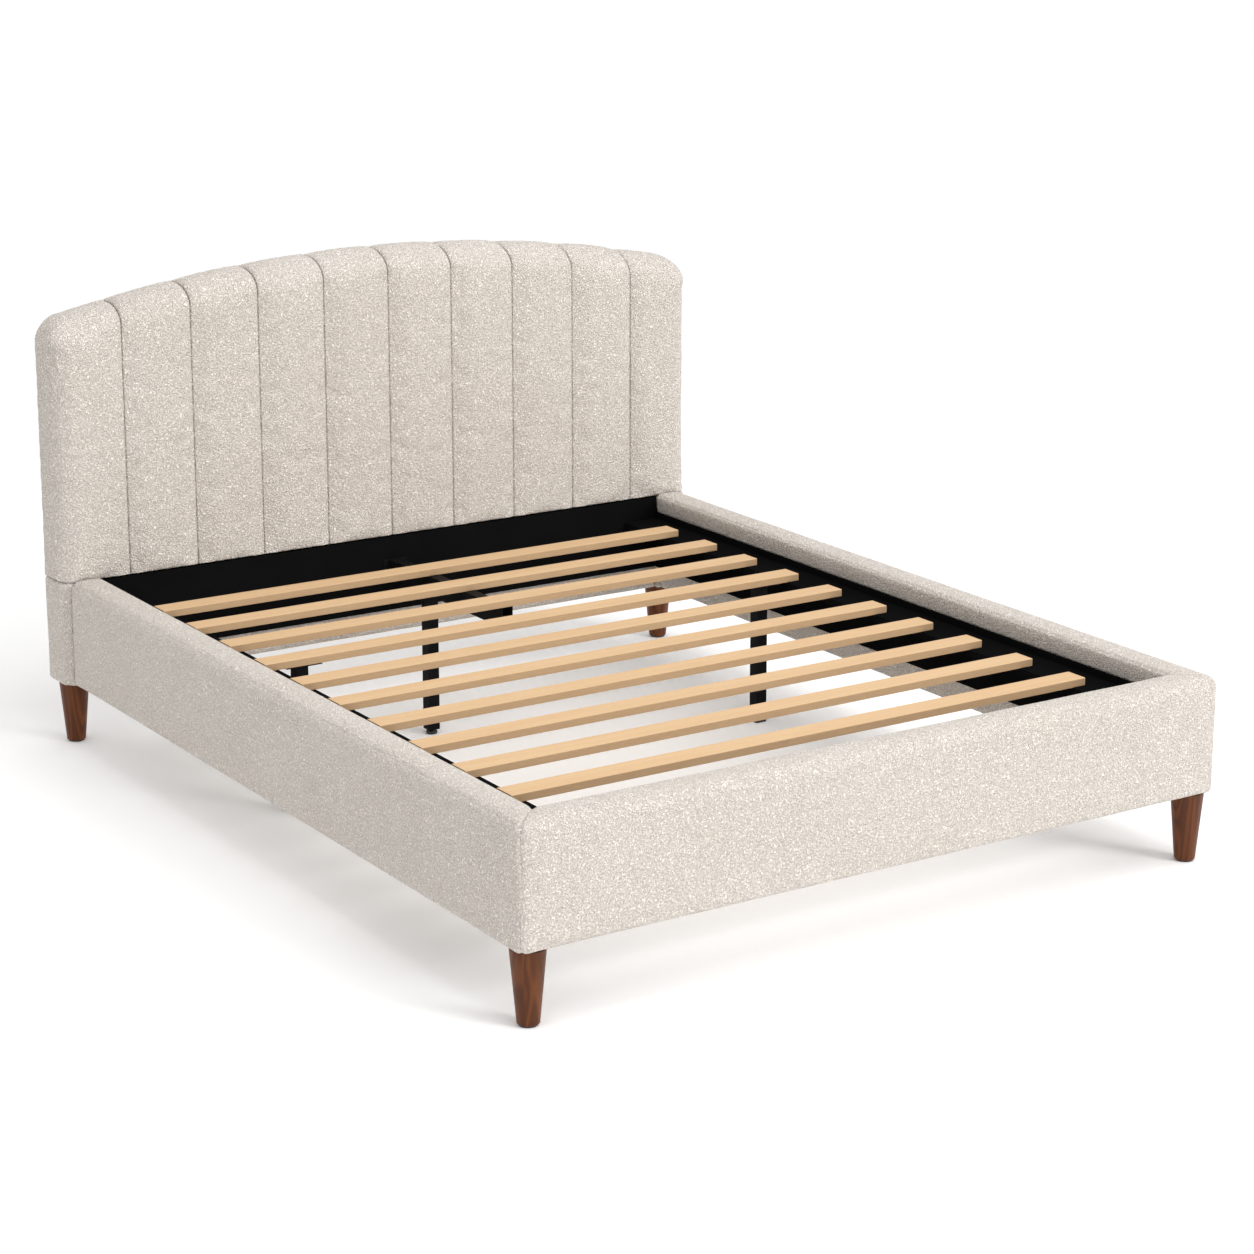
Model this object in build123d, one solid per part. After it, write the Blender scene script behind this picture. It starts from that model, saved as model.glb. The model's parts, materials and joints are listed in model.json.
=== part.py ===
from build123d import *

import os
from math import sqrt

# Upholstered platform bed with an arched, channel-padded headboard.
# Millimetres. +Z is up, +Y points to the headboard, X runs across the bed.
# The origin is on the floor, under the middle of the bed.
# "left" is -X and "right" is +X, seen from the foot looking at the headboard.

# ---------------------------------------------------------------- driving dimensions
MATTRESS_WIDTH = 1600.0
MATTRESS_LENGTH = 2000.0
MATTRESS_GAP = 10.0          # free space round the mattress, on each of its four sides

FLOOR_CLEARANCE = 158.0      # floor to the underside of the rails
RAIL_HEIGHT = 260.0
COVER = 3.0                  # upholstery fabric with its backing
INNER_PAD = 12.0             # foam on the inside of a rail, above the lining board
RAIL_CORE = 30.0             # timber core of a rail
OUTER_FOAM = 30.0            # foam on the outside of a rail
TOP_FOAM = 15.0              # foam over the top of a rail core
RAIL_INNER_ROUND = 18.0      # rounding of a rail's top inner edge
RAIL_OUTER_ROUND = 26.0      # rounding of a rail's top outer edge
RAIL_BOTTOM_ROUND = 8.0
HEM_DROP = 45.0              # rail top down to the fabric hem inside the bed
INNER_BAND = 64.0            # height of the fabric band inside, above the rail's underside
LINING_PROUD = 6.0           # how far the black lining stands in front of the fabric

HEADBOARD_HEIGHT = 1156.0
HEADBOARD_OVERHANG = 22.0    # headboard side face beyond the rail's outer face
ARCH_RADIUS = 3900.0
SHOULDER_RADIUS = 75.0
CHANNELS = 10
CHANNEL_GAP = 0.6
PAD_FRONT_ROUND = 45.0
PAD_BACK_ROUND = 10.0
HEADBOARD_BORDER = 18.0      # padding round the edge of the headboard frame
LOWER_FOAM = 9.0             # foam on the front of the headboard's lower ends
HEAD_BLOCK = 38.0            # blocks between the lower front foam and the panel
PANEL = 12.0                 # plywood panel of the headboard
FRAME_TIMBER = 53.0          # depth of the headboard's posts and rails
POST_WIDTH = 70.0
FRAME_RAIL_HEIGHT = 60.0
BACK_COVER_INSET = 8.0
CROSS_BOARD = 22.0           # black board across the headboard

SLAT_COUNT = 10
SLAT_WIDTH = 58.0
SLAT_THICKNESS = 18.0
SLAT_DROP = 43.0             # rail top down to the slats' top
SLAT_END_GAP = 70.0          # slat end to the rail's inner fabric face
SLAT_HEAD_MARGIN = 178.0     # first slat's centre to the headboard end of the mattress space
SLAT_FOOT_MARGIN = 225.0     # last slat's centre to its foot end
SLAT_EDGE_ROUND = 2.0
SLAT_BEARING = 35.0          # how much of a slat's end rests on its ledge
LEDGE_THICKNESS = 18.0
CLEAT = 30.0                 # square section of the cleat under a ledge
CLEAT_END_GAP = 70.0

BEAM_WIDTH = 30.0
BEAM_HEIGHT = 50.0
BEAM_WALL = 2.0
PLATE = 3.0                  # steel plate of brackets and leg tops
BRACKET_SEAT = 40.0          # how far a beam bracket reaches under the beam
BRACKET_EAR = 18.0           # bracket plate beyond the beam, on each side

SUPPORT_TUBE = 30.0          # square tube of the black support legs
SUPPORT_WALL = 2.0
BEAM_SLATS = 3               # how many slats, counted from the headboard, the beam carries
CENTRE_LEG_SLAT = 2          # slat over the centre support leg
CENTRE_LEG_OFFSET = 98.0     # that leg stands this far left of the middle, clear of the beam
OUTER_LEG_SLAT = 4           # slat over the two outer support legs
OUTER_LEG_FROM_MIDDLE = 640.0
SUPPORT_PLATE_WIDTH = 54.0
SUPPORT_PLATE_LENGTH = 90.0
SUPPORT_BOLT_SPACING = 60.0
FOOT_HEIGHT = 8.0
FOOT_RADIUS = 14.0
FOOT_GAP = 4.0               # foot top to tube end, taken up when the foot is screwed in
FOOT_EDGE = 2.0
STEM_RADIUS = 4.0
STEM_LENGTH = 32.0
NUT_HEIGHT = 20.0            # threaded nut welded in the tube's lower end
CAP_HEIGHT = 12.0

LEG_TOP_RADIUS = 37.0
LEG_BOTTOM_RADIUS = 23.0
LEG_INSET = 45.0             # leg axis to the foot corner's outer faces
HEAD_LEG_SIDE_INSET = 50.0
HEAD_LEG_BACK_INSET = 45.0
GLIDE_HEIGHT = 3.0
GLIDE_INSET = 4.0
LEG_EDGE = 2.0

HANGER_RADIUS = 4.0
HANGER_IN_LEG = 45.0
HANGER_IN_TIMBER = 35.0
BED_BOLT_RADIUS = 4.0
BED_BOLT_LENGTH = 175.0
BED_BOLT_HEAD_RADIUS = 6.5
BED_BOLT_HEAD = 8.0
BED_BOLT_SPACING = 120.0
BARREL_NUT_RADIUS = 8.0
BARREL_NUT_LENGTH = 24.0
CORNER_FLANGE = 60.0
CORNER_GAP = 3.5             # corner bracket to the fabric band below and the cleat above
SMALL_BOLT_RADIUS = 3.0
SMALL_BOLT_HEAD_RADIUS = 6.0
SMALL_BOLT_HEAD = 4.0
CORNER_BOLT_LENGTH = 42.0
SUPPORT_BOLT_LENGTH = 16.0
SLAT_SCREW_RADIUS = 2.5
SLAT_SCREW_HEAD_RADIUS = 4.5
SLAT_SCREW_HEAD = 3.0
SLAT_SCREW_BITE = 12.0       # how far a screw goes into a slat

BORE_CLEARANCE = 0.1         # radial, round every bolt and screw
STEM_CLEARANCE = 0.05        # radial, running fit of a foot's stem in its nut

# ---------------------------------------------------------------- derived places
half_width = MATTRESS_WIDTH / 2 + MATTRESS_GAP
inner_length = MATTRESS_LENGTH + 2 * MATTRESS_GAP
rail_thickness = COVER + INNER_PAD + RAIL_CORE + OUTER_FOAM + COVER
core_in = COVER + INNER_PAD
core_out = core_in + RAIL_CORE
outer_half = half_width + rail_thickness
rail_bottom = FLOOR_CLEARANCE
rail_top = FLOOR_CLEARANCE + RAIL_HEIGHT
hem = rail_top - HEM_DROP
band_top = rail_bottom + INNER_BAND
core_top = rail_top - COVER - TOP_FOAM
timber_bottom = rail_bottom + COVER

headboard_depth = COVER + LOWER_FOAM + HEAD_BLOCK + PANEL + FRAME_TIMBER + COVER
total_length = rail_thickness + inner_length + headboard_depth
foot_face = -total_length / 2
foot_inner = foot_face + rail_thickness
head_front = foot_inner + inner_length
head_back = head_front + headboard_depth
block_front = head_front + COVER + LOWER_FOAM
panel_front = block_front + HEAD_BLOCK
frame_front = panel_front + PANEL
frame_back = frame_front + FRAME_TIMBER
board_half = outer_half + HEADBOARD_OVERHANG
frame_half = board_half - HEADBOARD_BORDER
post_inner = frame_half - POST_WIDTH

slat_top = rail_top - SLAT_DROP
slat_bottom = slat_top - SLAT_THICKNESS
slat_half = half_width - SLAT_END_GAP
slat_pitch = (inner_length - SLAT_HEAD_MARGIN - SLAT_FOOT_MARGIN) / (SLAT_COUNT - 1)
lining_in = half_width - LINING_PROUD
foot_lining_in = foot_inner + LINING_PROUD
ledge_in = slat_half - SLAT_BEARING
ledge_bottom = slat_bottom - LEDGE_THICKNESS
beam_bottom = slat_bottom - BEAM_HEIGHT
nut_bottom = FOOT_HEIGHT + FOOT_GAP
core_middle = half_width + core_in + RAIL_CORE / 2
leg_x_foot = outer_half - LEG_INSET
leg_y_foot = foot_face + LEG_INSET
leg_x_head = board_half - HEAD_LEG_SIDE_INSET
leg_y_head = head_back - HEAD_LEG_BACK_INSET


# ---------------------------------------------------------------- helpers
def block(x, y, z):
    """A box from three (low, high) pairs."""
    size = [high - low for low, high in (x, y, z)]
    centre = [(high + low) / 2 for low, high in (x, y, z)]
    return Pos(*centre) * Box(*size)


def rod(start, end, radius):
    """A round bar from one point to another."""
    line = Vector(*end) - Vector(*start)
    return extrude(Plane(origin=start, z_dir=line) * Circle(radius), amount=line.length)


def bolt(seat, direction, shank_radius, length, head_radius, head_height):
    """A bolt whose head sits on the seat point; its shank runs along the direction."""
    way = Vector(*direction)
    seat = Vector(*seat)
    shank = rod(tuple(seat), tuple(seat + way * length), shank_radius)
    return shank + rod(tuple(seat - way * head_height), tuple(seat), head_radius)


def other_side(solid):
    """The same piece on the other side of the bed's centre plane."""
    return mirror(solid, about=Plane.YZ)


def both_sides(solid):
    return [solid, other_side(solid)]


def drilled(solid, holes):
    """The solid with every hole cutter taken out of it."""
    for hole in holes:
        solid = solid - hole
    return solid


def solids_of(*pieces):
    """One group of separate solids."""
    return Compound([solid for piece in pieces for solid in piece.solids()])


# ---------------------------------------------------------------- headboard outline
arch_centre = HEADBOARD_HEIGHT - ARCH_RADIUS
shoulder_x = board_half - SHOULDER_RADIUS
shoulder_z = arch_centre + sqrt((ARCH_RADIUS - SHOULDER_RADIUS) ** 2 - shoulder_x ** 2)


def outline(inset, bottom):
    """Front view of the headboard: straight sides, round shoulders, one long arch."""
    half = board_half - inset
    shoulder = Vector(shoulder_x, shoulder_z)
    away = Vector(shoulder_x, shoulder_z - arch_centre).normalized()
    top = shoulder + away * (SHOULDER_RADIUS - inset)
    middle = shoulder + (away + Vector(1, 0)).normalized() * (SHOULDER_RADIUS - inset)
    right = [
        Line((half, bottom), (half, shoulder_z)),
        ThreePointArc((half, shoulder_z), middle, top),
    ]
    left = [mirror(edge, about=Plane.YZ) for edge in right]
    arch = ThreePointArc(top, (0, HEADBOARD_HEIGHT - inset), (-top.X, top.Y))
    base = Line((-half, bottom), (half, bottom))
    return make_face(Curve() + [base, *right, arch, *left])


def board(inset, bottom, front, back):
    """The headboard's outline carried through from front to back."""
    plane = Plane(origin=(0, back, 0), x_dir=(1, 0, 0), z_dir=(0, -1, 0))
    return extrude(plane * outline(inset, bottom), amount=back - front)


def padded_body():
    """The whole padding above the rails, rounded in front and at the back."""
    body = board(0, rail_top, head_front, frame_back)
    for depth, radius in ((head_front, PAD_FRONT_ROUND), (frame_back, PAD_BACK_ROUND)):
        edges = [
            edge for edge in body.edges()
            if abs(edge.center().Y - depth) < 0.01 and edge.center().Z > rail_top + 1
        ]
        body = fillet(edges, radius)
    return body - board(HEADBOARD_BORDER, rail_top - 1, panel_front, frame_back + 1)


def channel_pads():
    """Ten pads side by side; the first and last wrap round the sides."""
    body = padded_body()
    pitch = 2 * board_half / CHANNELS
    pads = []
    for index in range(CHANNELS):
        low = -board_half + index * pitch + CHANNEL_GAP / 2
        high = low + pitch - CHANNEL_GAP
        space = block((low, high), (head_front - 1, head_back), (rail_top - 1, HEADBOARD_HEIGHT + 1))
        pads.append(body & space)
    return pads


# ---------------------------------------------------------------- headboard frame
def bed_bolt_places():
    middle = (band_top + hem) / 2
    return [middle - BED_BOLT_SPACING / 2, middle + BED_BOLT_SPACING / 2]


bed_bolt_seat = frame_back - BED_BOLT_HEAD
bed_bolt_end = bed_bolt_seat - BED_BOLT_LENGTH


def bed_bolts():
    right = [
        bolt((core_middle, bed_bolt_seat, z), (0, -1, 0), BED_BOLT_RADIUS, BED_BOLT_LENGTH,
             BED_BOLT_HEAD_RADIUS, BED_BOLT_HEAD)
        for z in bed_bolt_places()
    ]
    return [piece for part in right for piece in both_sides(part)]


def bed_bolt_holes():
    right = []
    for z in bed_bolt_places():
        right.append(rod((core_middle, frame_back + 1, z), (core_middle, bed_bolt_end - 1, z),
                         BED_BOLT_RADIUS + BORE_CLEARANCE))
        right.append(rod((core_middle, frame_back + 1, z), (core_middle, bed_bolt_seat, z),
                         BED_BOLT_HEAD_RADIUS + BORE_CLEARANCE))
    return [piece for part in right for piece in both_sides(part)]


barrel_nut_y = bed_bolt_end + BARREL_NUT_RADIUS + 4


def barrel_rods(extra):
    start = half_width + core_in
    right = [
        rod((start - extra, barrel_nut_y, z), (start + BARREL_NUT_LENGTH + extra, barrel_nut_y, z),
            BARREL_NUT_RADIUS + extra)
        for z in bed_bolt_places()
    ]
    return [piece for part in right for piece in both_sides(part)]


def hanger_bolts(extra=0.0):
    """Studs that join each leg to the timber above it."""
    low = FLOOR_CLEARANCE - HANGER_IN_LEG
    high = timber_bottom + HANGER_IN_TIMBER
    places = ((leg_x_foot, leg_y_foot), (leg_x_head, leg_y_head))
    right = [
        rod((x, y, low - extra), (x, y, high + extra), HANGER_RADIUS + extra) for x, y in places
    ]
    return [piece for part in right for piece in both_sides(part)]


def headboard_panel():
    return board(HEADBOARD_BORDER, timber_bottom, panel_front, frame_front)


def headboard_posts():
    space = block((post_inner, frame_half), (frame_front, frame_back), (timber_bottom, HEADBOARD_HEIGHT))
    post = board(HEADBOARD_BORDER, timber_bottom, frame_front, frame_back) & space
    return both_sides(post)


def headboard_rails():
    """Arched top rail, straight rails between the posts and one in front of the panel."""
    back = (frame_front, frame_back)
    between = (-post_inner, post_inner)
    arched = board(HEADBOARD_BORDER, timber_bottom, *back)
    arched = arched - board(HEADBOARD_BORDER + FRAME_RAIL_HEIGHT, 0, *back)
    low = timber_bottom
    arched = arched & block(between, back, ((low + HEADBOARD_HEIGHT) / 2, HEADBOARD_HEIGHT))
    top_of_side = shoulder_z
    heights = (low, rail_top, (rail_top + top_of_side) / 2)
    straight = [block(between, back, (z, z + FRAME_RAIL_HEIGHT)) for z in heights]
    front = block(between, (block_front + COVER, panel_front), (low, band_top))
    return [arched, *straight, front]


def headboard_blocks():
    """Blocks behind the rails' ends, and spacers behind the black cross board."""
    corner = block((post_inner, frame_half), (block_front, panel_front), (timber_bottom, rail_top - COVER))
    spacer_y = (head_front + CROSS_BOARD, panel_front)
    spacer = block((-POST_WIDTH / 2, POST_WIDTH / 2), spacer_y, (band_top, rail_top - COVER))
    reach = post_inner - POST_WIDTH
    spacers = [Pos(x, 0, 0) * spacer for x in (-reach, 0, reach)]
    return both_sides(corner) + spacers


def head_cross_board():
    return block((-half_width, half_width), (head_front, head_front + CROSS_BOARD),
                 (band_top, rail_top - COVER))


def lower_cover():
    """Fabric round the headboard's lower part, in one piece with the band between the rails."""
    high = rail_top
    side = block((board_half - COVER, board_half), (head_front, frame_back), (rail_bottom, high))
    face = block((half_width, board_half), (head_front, head_front + COVER), (rail_bottom, high))
    turn = block((half_width, half_width + COVER), (head_front, block_front + COVER),
                 (rail_bottom, band_top))
    sole = block((half_width, board_half), (head_front, frame_back), (rail_bottom, timber_bottom))
    band = block((-half_width - 1, half_width + 1), (block_front, block_front + COVER),
                 (rail_bottom, band_top))
    middle = block((-half_width - 1, half_width + 1), (block_front, frame_back),
                   (rail_bottom, timber_bottom))
    end = side + face + turn + sole
    return end + other_side(end) + band + middle


def lower_foam():
    """Foam under the fabric at the headboard's two lower ends."""
    z = (timber_bottom, rail_top - COVER)
    inside = half_width + COVER
    front = block((inside, board_half - COVER), (head_front + COVER, block_front), z)
    side = block((frame_half, board_half - COVER), (head_front + COVER, frame_back), z)
    return both_sides(front + side)


def back_cover():
    return board(BACK_COVER_INSET, rail_bottom, frame_back, head_back)


# ---------------------------------------------------------------- rails
def rail_face(points, radii):
    """A closed rail section; the first number of a point is its distance out from the mattress."""
    return make_face(FilletPolyline(*points, radius=radii, close=True))


def cover_section():
    """Fabric: hem, rounded top, outside, underside and the band that turns up inside."""
    out = rail_thickness
    outer = rail_face(
        [(0, hem), (0, rail_top), (out, rail_top), (out, rail_bottom), (INNER_PAD, rail_bottom),
         (INNER_PAD, hem)],
        [0, RAIL_INNER_ROUND, RAIL_OUTER_ROUND, RAIL_BOTTOM_ROUND, 0, 0],
    )
    inner = rail_face(
        [(COVER, hem - 1), (COVER, rail_top - COVER), (out - COVER, rail_top - COVER),
         (out - COVER, timber_bottom), (core_in, timber_bottom), (core_in, hem - 1)],
        [0, RAIL_INNER_ROUND - COVER, RAIL_OUTER_ROUND - COVER, RAIL_BOTTOM_ROUND - COVER, 0, 0],
    )
    open_side = Pos((core_in) / 2, (band_top + hem) / 2) * Rectangle(core_in + 1, hem - band_top)
    return outer - inner - open_side


def foam_section():
    """Foam over the core: a thick outer side, a soft top and a short inner side."""
    outer = rail_face(
        [(COVER, hem), (COVER, rail_top - COVER), (rail_thickness - COVER, rail_top - COVER),
         (rail_thickness - COVER, timber_bottom), (core_out, timber_bottom), (core_out, hem)],
        [0, RAIL_INNER_ROUND - COVER, RAIL_OUTER_ROUND - COVER, RAIL_BOTTOM_ROUND - COVER, 0, 0],
    )
    core = Pos((core_in + core_out) / 2, (hem + core_top) / 2) * Rectangle(RAIL_CORE, core_top - hem + 2)
    return outer - Pos(0, -1) * core


def side_rail_piece(section):
    """A section carried along the right rail and cut to a mitre at the foot corner."""
    plane = Plane(origin=(half_width, head_front, 0), x_dir=(1, 0, 0), z_dir=(0, -1, 0))
    return extrude(plane * section, amount=head_front - foot_face) - foot_side_of_mitre()


def foot_rail_piece(section):
    """The same section carried along the foot rail, mitred at both ends."""
    plane = Plane(origin=(outer_half, foot_inner, 0), x_dir=(0, -1, 0), z_dir=(-1, 0, 0))
    rail = extrude(plane * section, amount=2 * outer_half)
    wedge = side_of_mitre()
    return rail - wedge - other_side(wedge)


def mitre_wedge(corner):
    """Everything on one side of the right foot corner's mitre plane."""
    reach = rail_thickness + 20
    start = (half_width - 20, foot_inner + 20)
    end = (half_width + reach, foot_inner - reach)
    face = make_face(Polyline(start, end, corner, close=True))
    return extrude(Pos(0, 0, rail_bottom - 1) * face, amount=RAIL_HEIGHT + 2)


def foot_side_of_mitre():
    return mitre_wedge((half_width - 20, foot_inner - rail_thickness - 20))


def side_of_mitre():
    return mitre_wedge((half_width + rail_thickness + 20, foot_inner + 20))


corner_bottom = band_top + CORNER_GAP
corner_top = ledge_bottom - CLEAT - CORNER_GAP
corner_bolt_reach = CORNER_FLANGE * 0.6


def corner_bolt_places():
    quarter = (corner_top - corner_bottom) / 4
    return [corner_bottom + quarter, corner_top - quarter]


def corner_bolts(extra=0.0):
    """Four bolts at each foot corner, two into the side rail and two into the foot rail."""
    pieces = []
    for z in corner_bolt_places():
        side_seat = (lining_in - PLATE, foot_lining_in + corner_bolt_reach, z)
        foot_seat = (lining_in - corner_bolt_reach, foot_lining_in + PLATE, z)
        for seat, way in ((side_seat, (1, 0, 0)), (foot_seat, (0, -1, 0))):
            pieces += both_sides(
                bolt(seat, way, SMALL_BOLT_RADIUS + extra, CORNER_BOLT_LENGTH + extra,
                     SMALL_BOLT_HEAD_RADIUS, SMALL_BOLT_HEAD)
            )
    return pieces


def corner_brackets():
    z = (corner_bottom, corner_top)
    long_x = (lining_in - CORNER_FLANGE, lining_in)
    long_y = (foot_lining_in, foot_lining_in + CORNER_FLANGE)
    side = block((lining_in - PLATE, lining_in), long_y, z)
    foot = block(long_x, (foot_lining_in, foot_lining_in + PLATE), z)
    return both_sides(side + foot)


def side_rail_core():
    x = (half_width + core_in, half_width + core_out)
    return block(x, (foot_inner - core_in, head_front), (timber_bottom, core_top))


def foot_rail_core():
    reach = half_width + core_out
    return block((-reach, reach), (foot_inner - core_out, foot_inner - core_in), (timber_bottom, core_top))


def side_lining():
    return block((lining_in, half_width + core_in), (foot_inner - core_in, head_front), (band_top, hem))


def foot_lining():
    return block((-lining_in, lining_in), (foot_inner - core_in, foot_lining_in), (band_top, hem))


# ---------------------------------------------------------------- slats and their ledges
slat_screw_x = slat_half - SLAT_BEARING / 2


def slat_places():
    first = head_front - SLAT_HEAD_MARGIN
    return [first - index * slat_pitch for index in range(SLAT_COUNT)]


def slat_screws(extra=0.0):
    """Screws driven up through the ledges into the slats' ends."""
    seat = ledge_bottom + SLAT_SCREW_HEAD
    length = slat_bottom + SLAT_SCREW_BITE - seat
    pieces = []
    for y in slat_places():
        right = bolt((slat_screw_x, y, seat), (0, 0, 1), SLAT_SCREW_RADIUS + extra, length + extra,
                     SLAT_SCREW_HEAD_RADIUS + extra, SLAT_SCREW_HEAD)
        pieces += both_sides(right)
    return pieces


def slats():
    edge = (slat_half, SLAT_WIDTH / 2)
    blank = block((-edge[0], edge[0]), (-edge[1], edge[1]), (slat_bottom, slat_top))
    blank = fillet(blank.edges().filter_by(Axis.X), SLAT_EDGE_ROUND)
    return [Pos(0, y, 0) * blank for y in slat_places()]


def slat_ledge():
    return block((ledge_in, lining_in), (foot_lining_in, head_front), (ledge_bottom, slat_bottom))


def ledge_cleats():
    y = (foot_lining_in + CLEAT_END_GAP, head_front - CLEAT_END_GAP)
    return both_sides(block((lining_in - CLEAT, lining_in), y, (ledge_bottom - CLEAT, ledge_bottom)))


# ---------------------------------------------------------------- centre beam and support legs
def centre_beam():
    """The short tube that carries the first slats from the headboard's cross board."""
    y = (slat_places()[BEAM_SLATS - 1] - SLAT_WIDTH / 2, head_front - PLATE)
    half = BEAM_WIDTH / 2
    tube = block((-half, half), y, (beam_bottom, slat_bottom))
    inner = block((BEAM_WALL - half, half - BEAM_WALL), (y[0] - 1, y[1] + 1),
                  (beam_bottom + BEAM_WALL, slat_bottom - BEAM_WALL))
    return tube - inner


def beam_bracket():
    """A plate on the cross board with a three-sided seat that holds the beam's end."""
    half = BEAM_WIDTH / 2
    top = slat_bottom
    bottom = beam_bottom - PLATE
    plate_y = (head_front - PLATE, head_front)
    seat_y = (head_front - PLATE - BRACKET_SEAT, head_front - PLATE)
    plate = block((-half - BRACKET_EAR, half + BRACKET_EAR), plate_y, (bottom, top))
    seat = block((-half - PLATE, half + PLATE), seat_y, (bottom, top))
    return plate + (seat - block((-half, half), seat_y, (beam_bottom, top)))


def support_leg(x, y):
    """A square tube with a plate on top and a threaded nut welded in its lower end."""
    half = SUPPORT_TUBE / 2
    hollow = half - SUPPORT_WALL
    plate_bottom = slat_bottom - PLATE
    tube = block((-half, half), (-half, half), (nut_bottom, plate_bottom))
    inner = block((-hollow, hollow), (-hollow, hollow), (nut_bottom + NUT_HEIGHT, plate_bottom))
    bore = rod((0, 0, nut_bottom - 1), (0, 0, nut_bottom + NUT_HEIGHT + 1), STEM_RADIUS + STEM_CLEARANCE)
    plate = block((-SUPPORT_PLATE_LENGTH / 2, SUPPORT_PLATE_LENGTH / 2),
                  (-SUPPORT_PLATE_WIDTH / 2, SUPPORT_PLATE_WIDTH / 2), (plate_bottom, slat_bottom))
    return Pos(x, y, 0) * (tube - inner - bore + plate)


def centre_leg_place():
    return -CENTRE_LEG_OFFSET, slat_places()[CENTRE_LEG_SLAT - 1]


def outer_leg_places():
    y = slat_places()[OUTER_LEG_SLAT - 1]
    return [(x, y) for x in (-OUTER_LEG_FROM_MIDDLE, OUTER_LEG_FROM_MIDDLE)]


def support_bolts(extra=0.0):
    """Two bolts through the top plate of each support leg, up into its slat."""
    seat = slat_bottom - PLATE
    return [
        bolt((x + shift, y, seat), (0, 0, 1), SMALL_BOLT_RADIUS + extra, SUPPORT_BOLT_LENGTH + extra,
             SMALL_BOLT_HEAD_RADIUS, SMALL_BOLT_HEAD)
        for x, y in [centre_leg_place()] + outer_leg_places()
        for shift in (-SUPPORT_BOLT_SPACING / 2, SUPPORT_BOLT_SPACING / 2)
    ]


def levelling_foot(x, y):
    """A round foot on a threaded stem that screws into the leg."""
    pad = fillet(rod((0, 0, 0), (0, 0, FOOT_HEIGHT), FOOT_RADIUS).edges(), FOOT_EDGE)
    stem = rod((0, 0, FOOT_HEIGHT), (0, 0, FOOT_HEIGHT + STEM_LENGTH), STEM_RADIUS)
    return Pos(x, y, 0) * (pad + stem)


def outer_leg_caps():
    """Fixed plastic end caps of the two outer support legs."""
    half = SUPPORT_TUBE / 2
    foot = block((-half, half), (-half, half), (0, CAP_HEIGHT))
    peg = rod((0, 0, CAP_HEIGHT), (0, 0, CAP_HEIGHT + NUT_HEIGHT), STEM_RADIUS)
    return [Pos(x, y, 0) * (foot + peg) for x, y in outer_leg_places()]


# ---------------------------------------------------------------- wooden legs
def turned_leg(x, y):
    """A tapered round leg, slightly softened at both rims."""
    profile = Polyline(
        (0, GLIDE_HEIGHT), (LEG_BOTTOM_RADIUS - LEG_EDGE, GLIDE_HEIGHT),
        (LEG_BOTTOM_RADIUS, GLIDE_HEIGHT + LEG_EDGE), (LEG_TOP_RADIUS, FLOOR_CLEARANCE),
        (0, FLOOR_CLEARANCE), close=True,
    )
    leg = revolve(Plane.XZ * make_face(profile), axis=Axis.Z)
    return Pos(x, y, 0) * leg


def leg_places():
    return {
        "leg_head_left": (-leg_x_head, leg_y_head),
        "leg_head_right": (leg_x_head, leg_y_head),
        "leg_foot_left": (-leg_x_foot, leg_y_foot),
        "leg_foot_right": (leg_x_foot, leg_y_foot),
    }


def leg_glides():
    radius = LEG_BOTTOM_RADIUS - GLIDE_INSET
    return [rod((x, y, 0), (x, y, GLIDE_HEIGHT), radius) for x, y in leg_places().values()]


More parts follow.
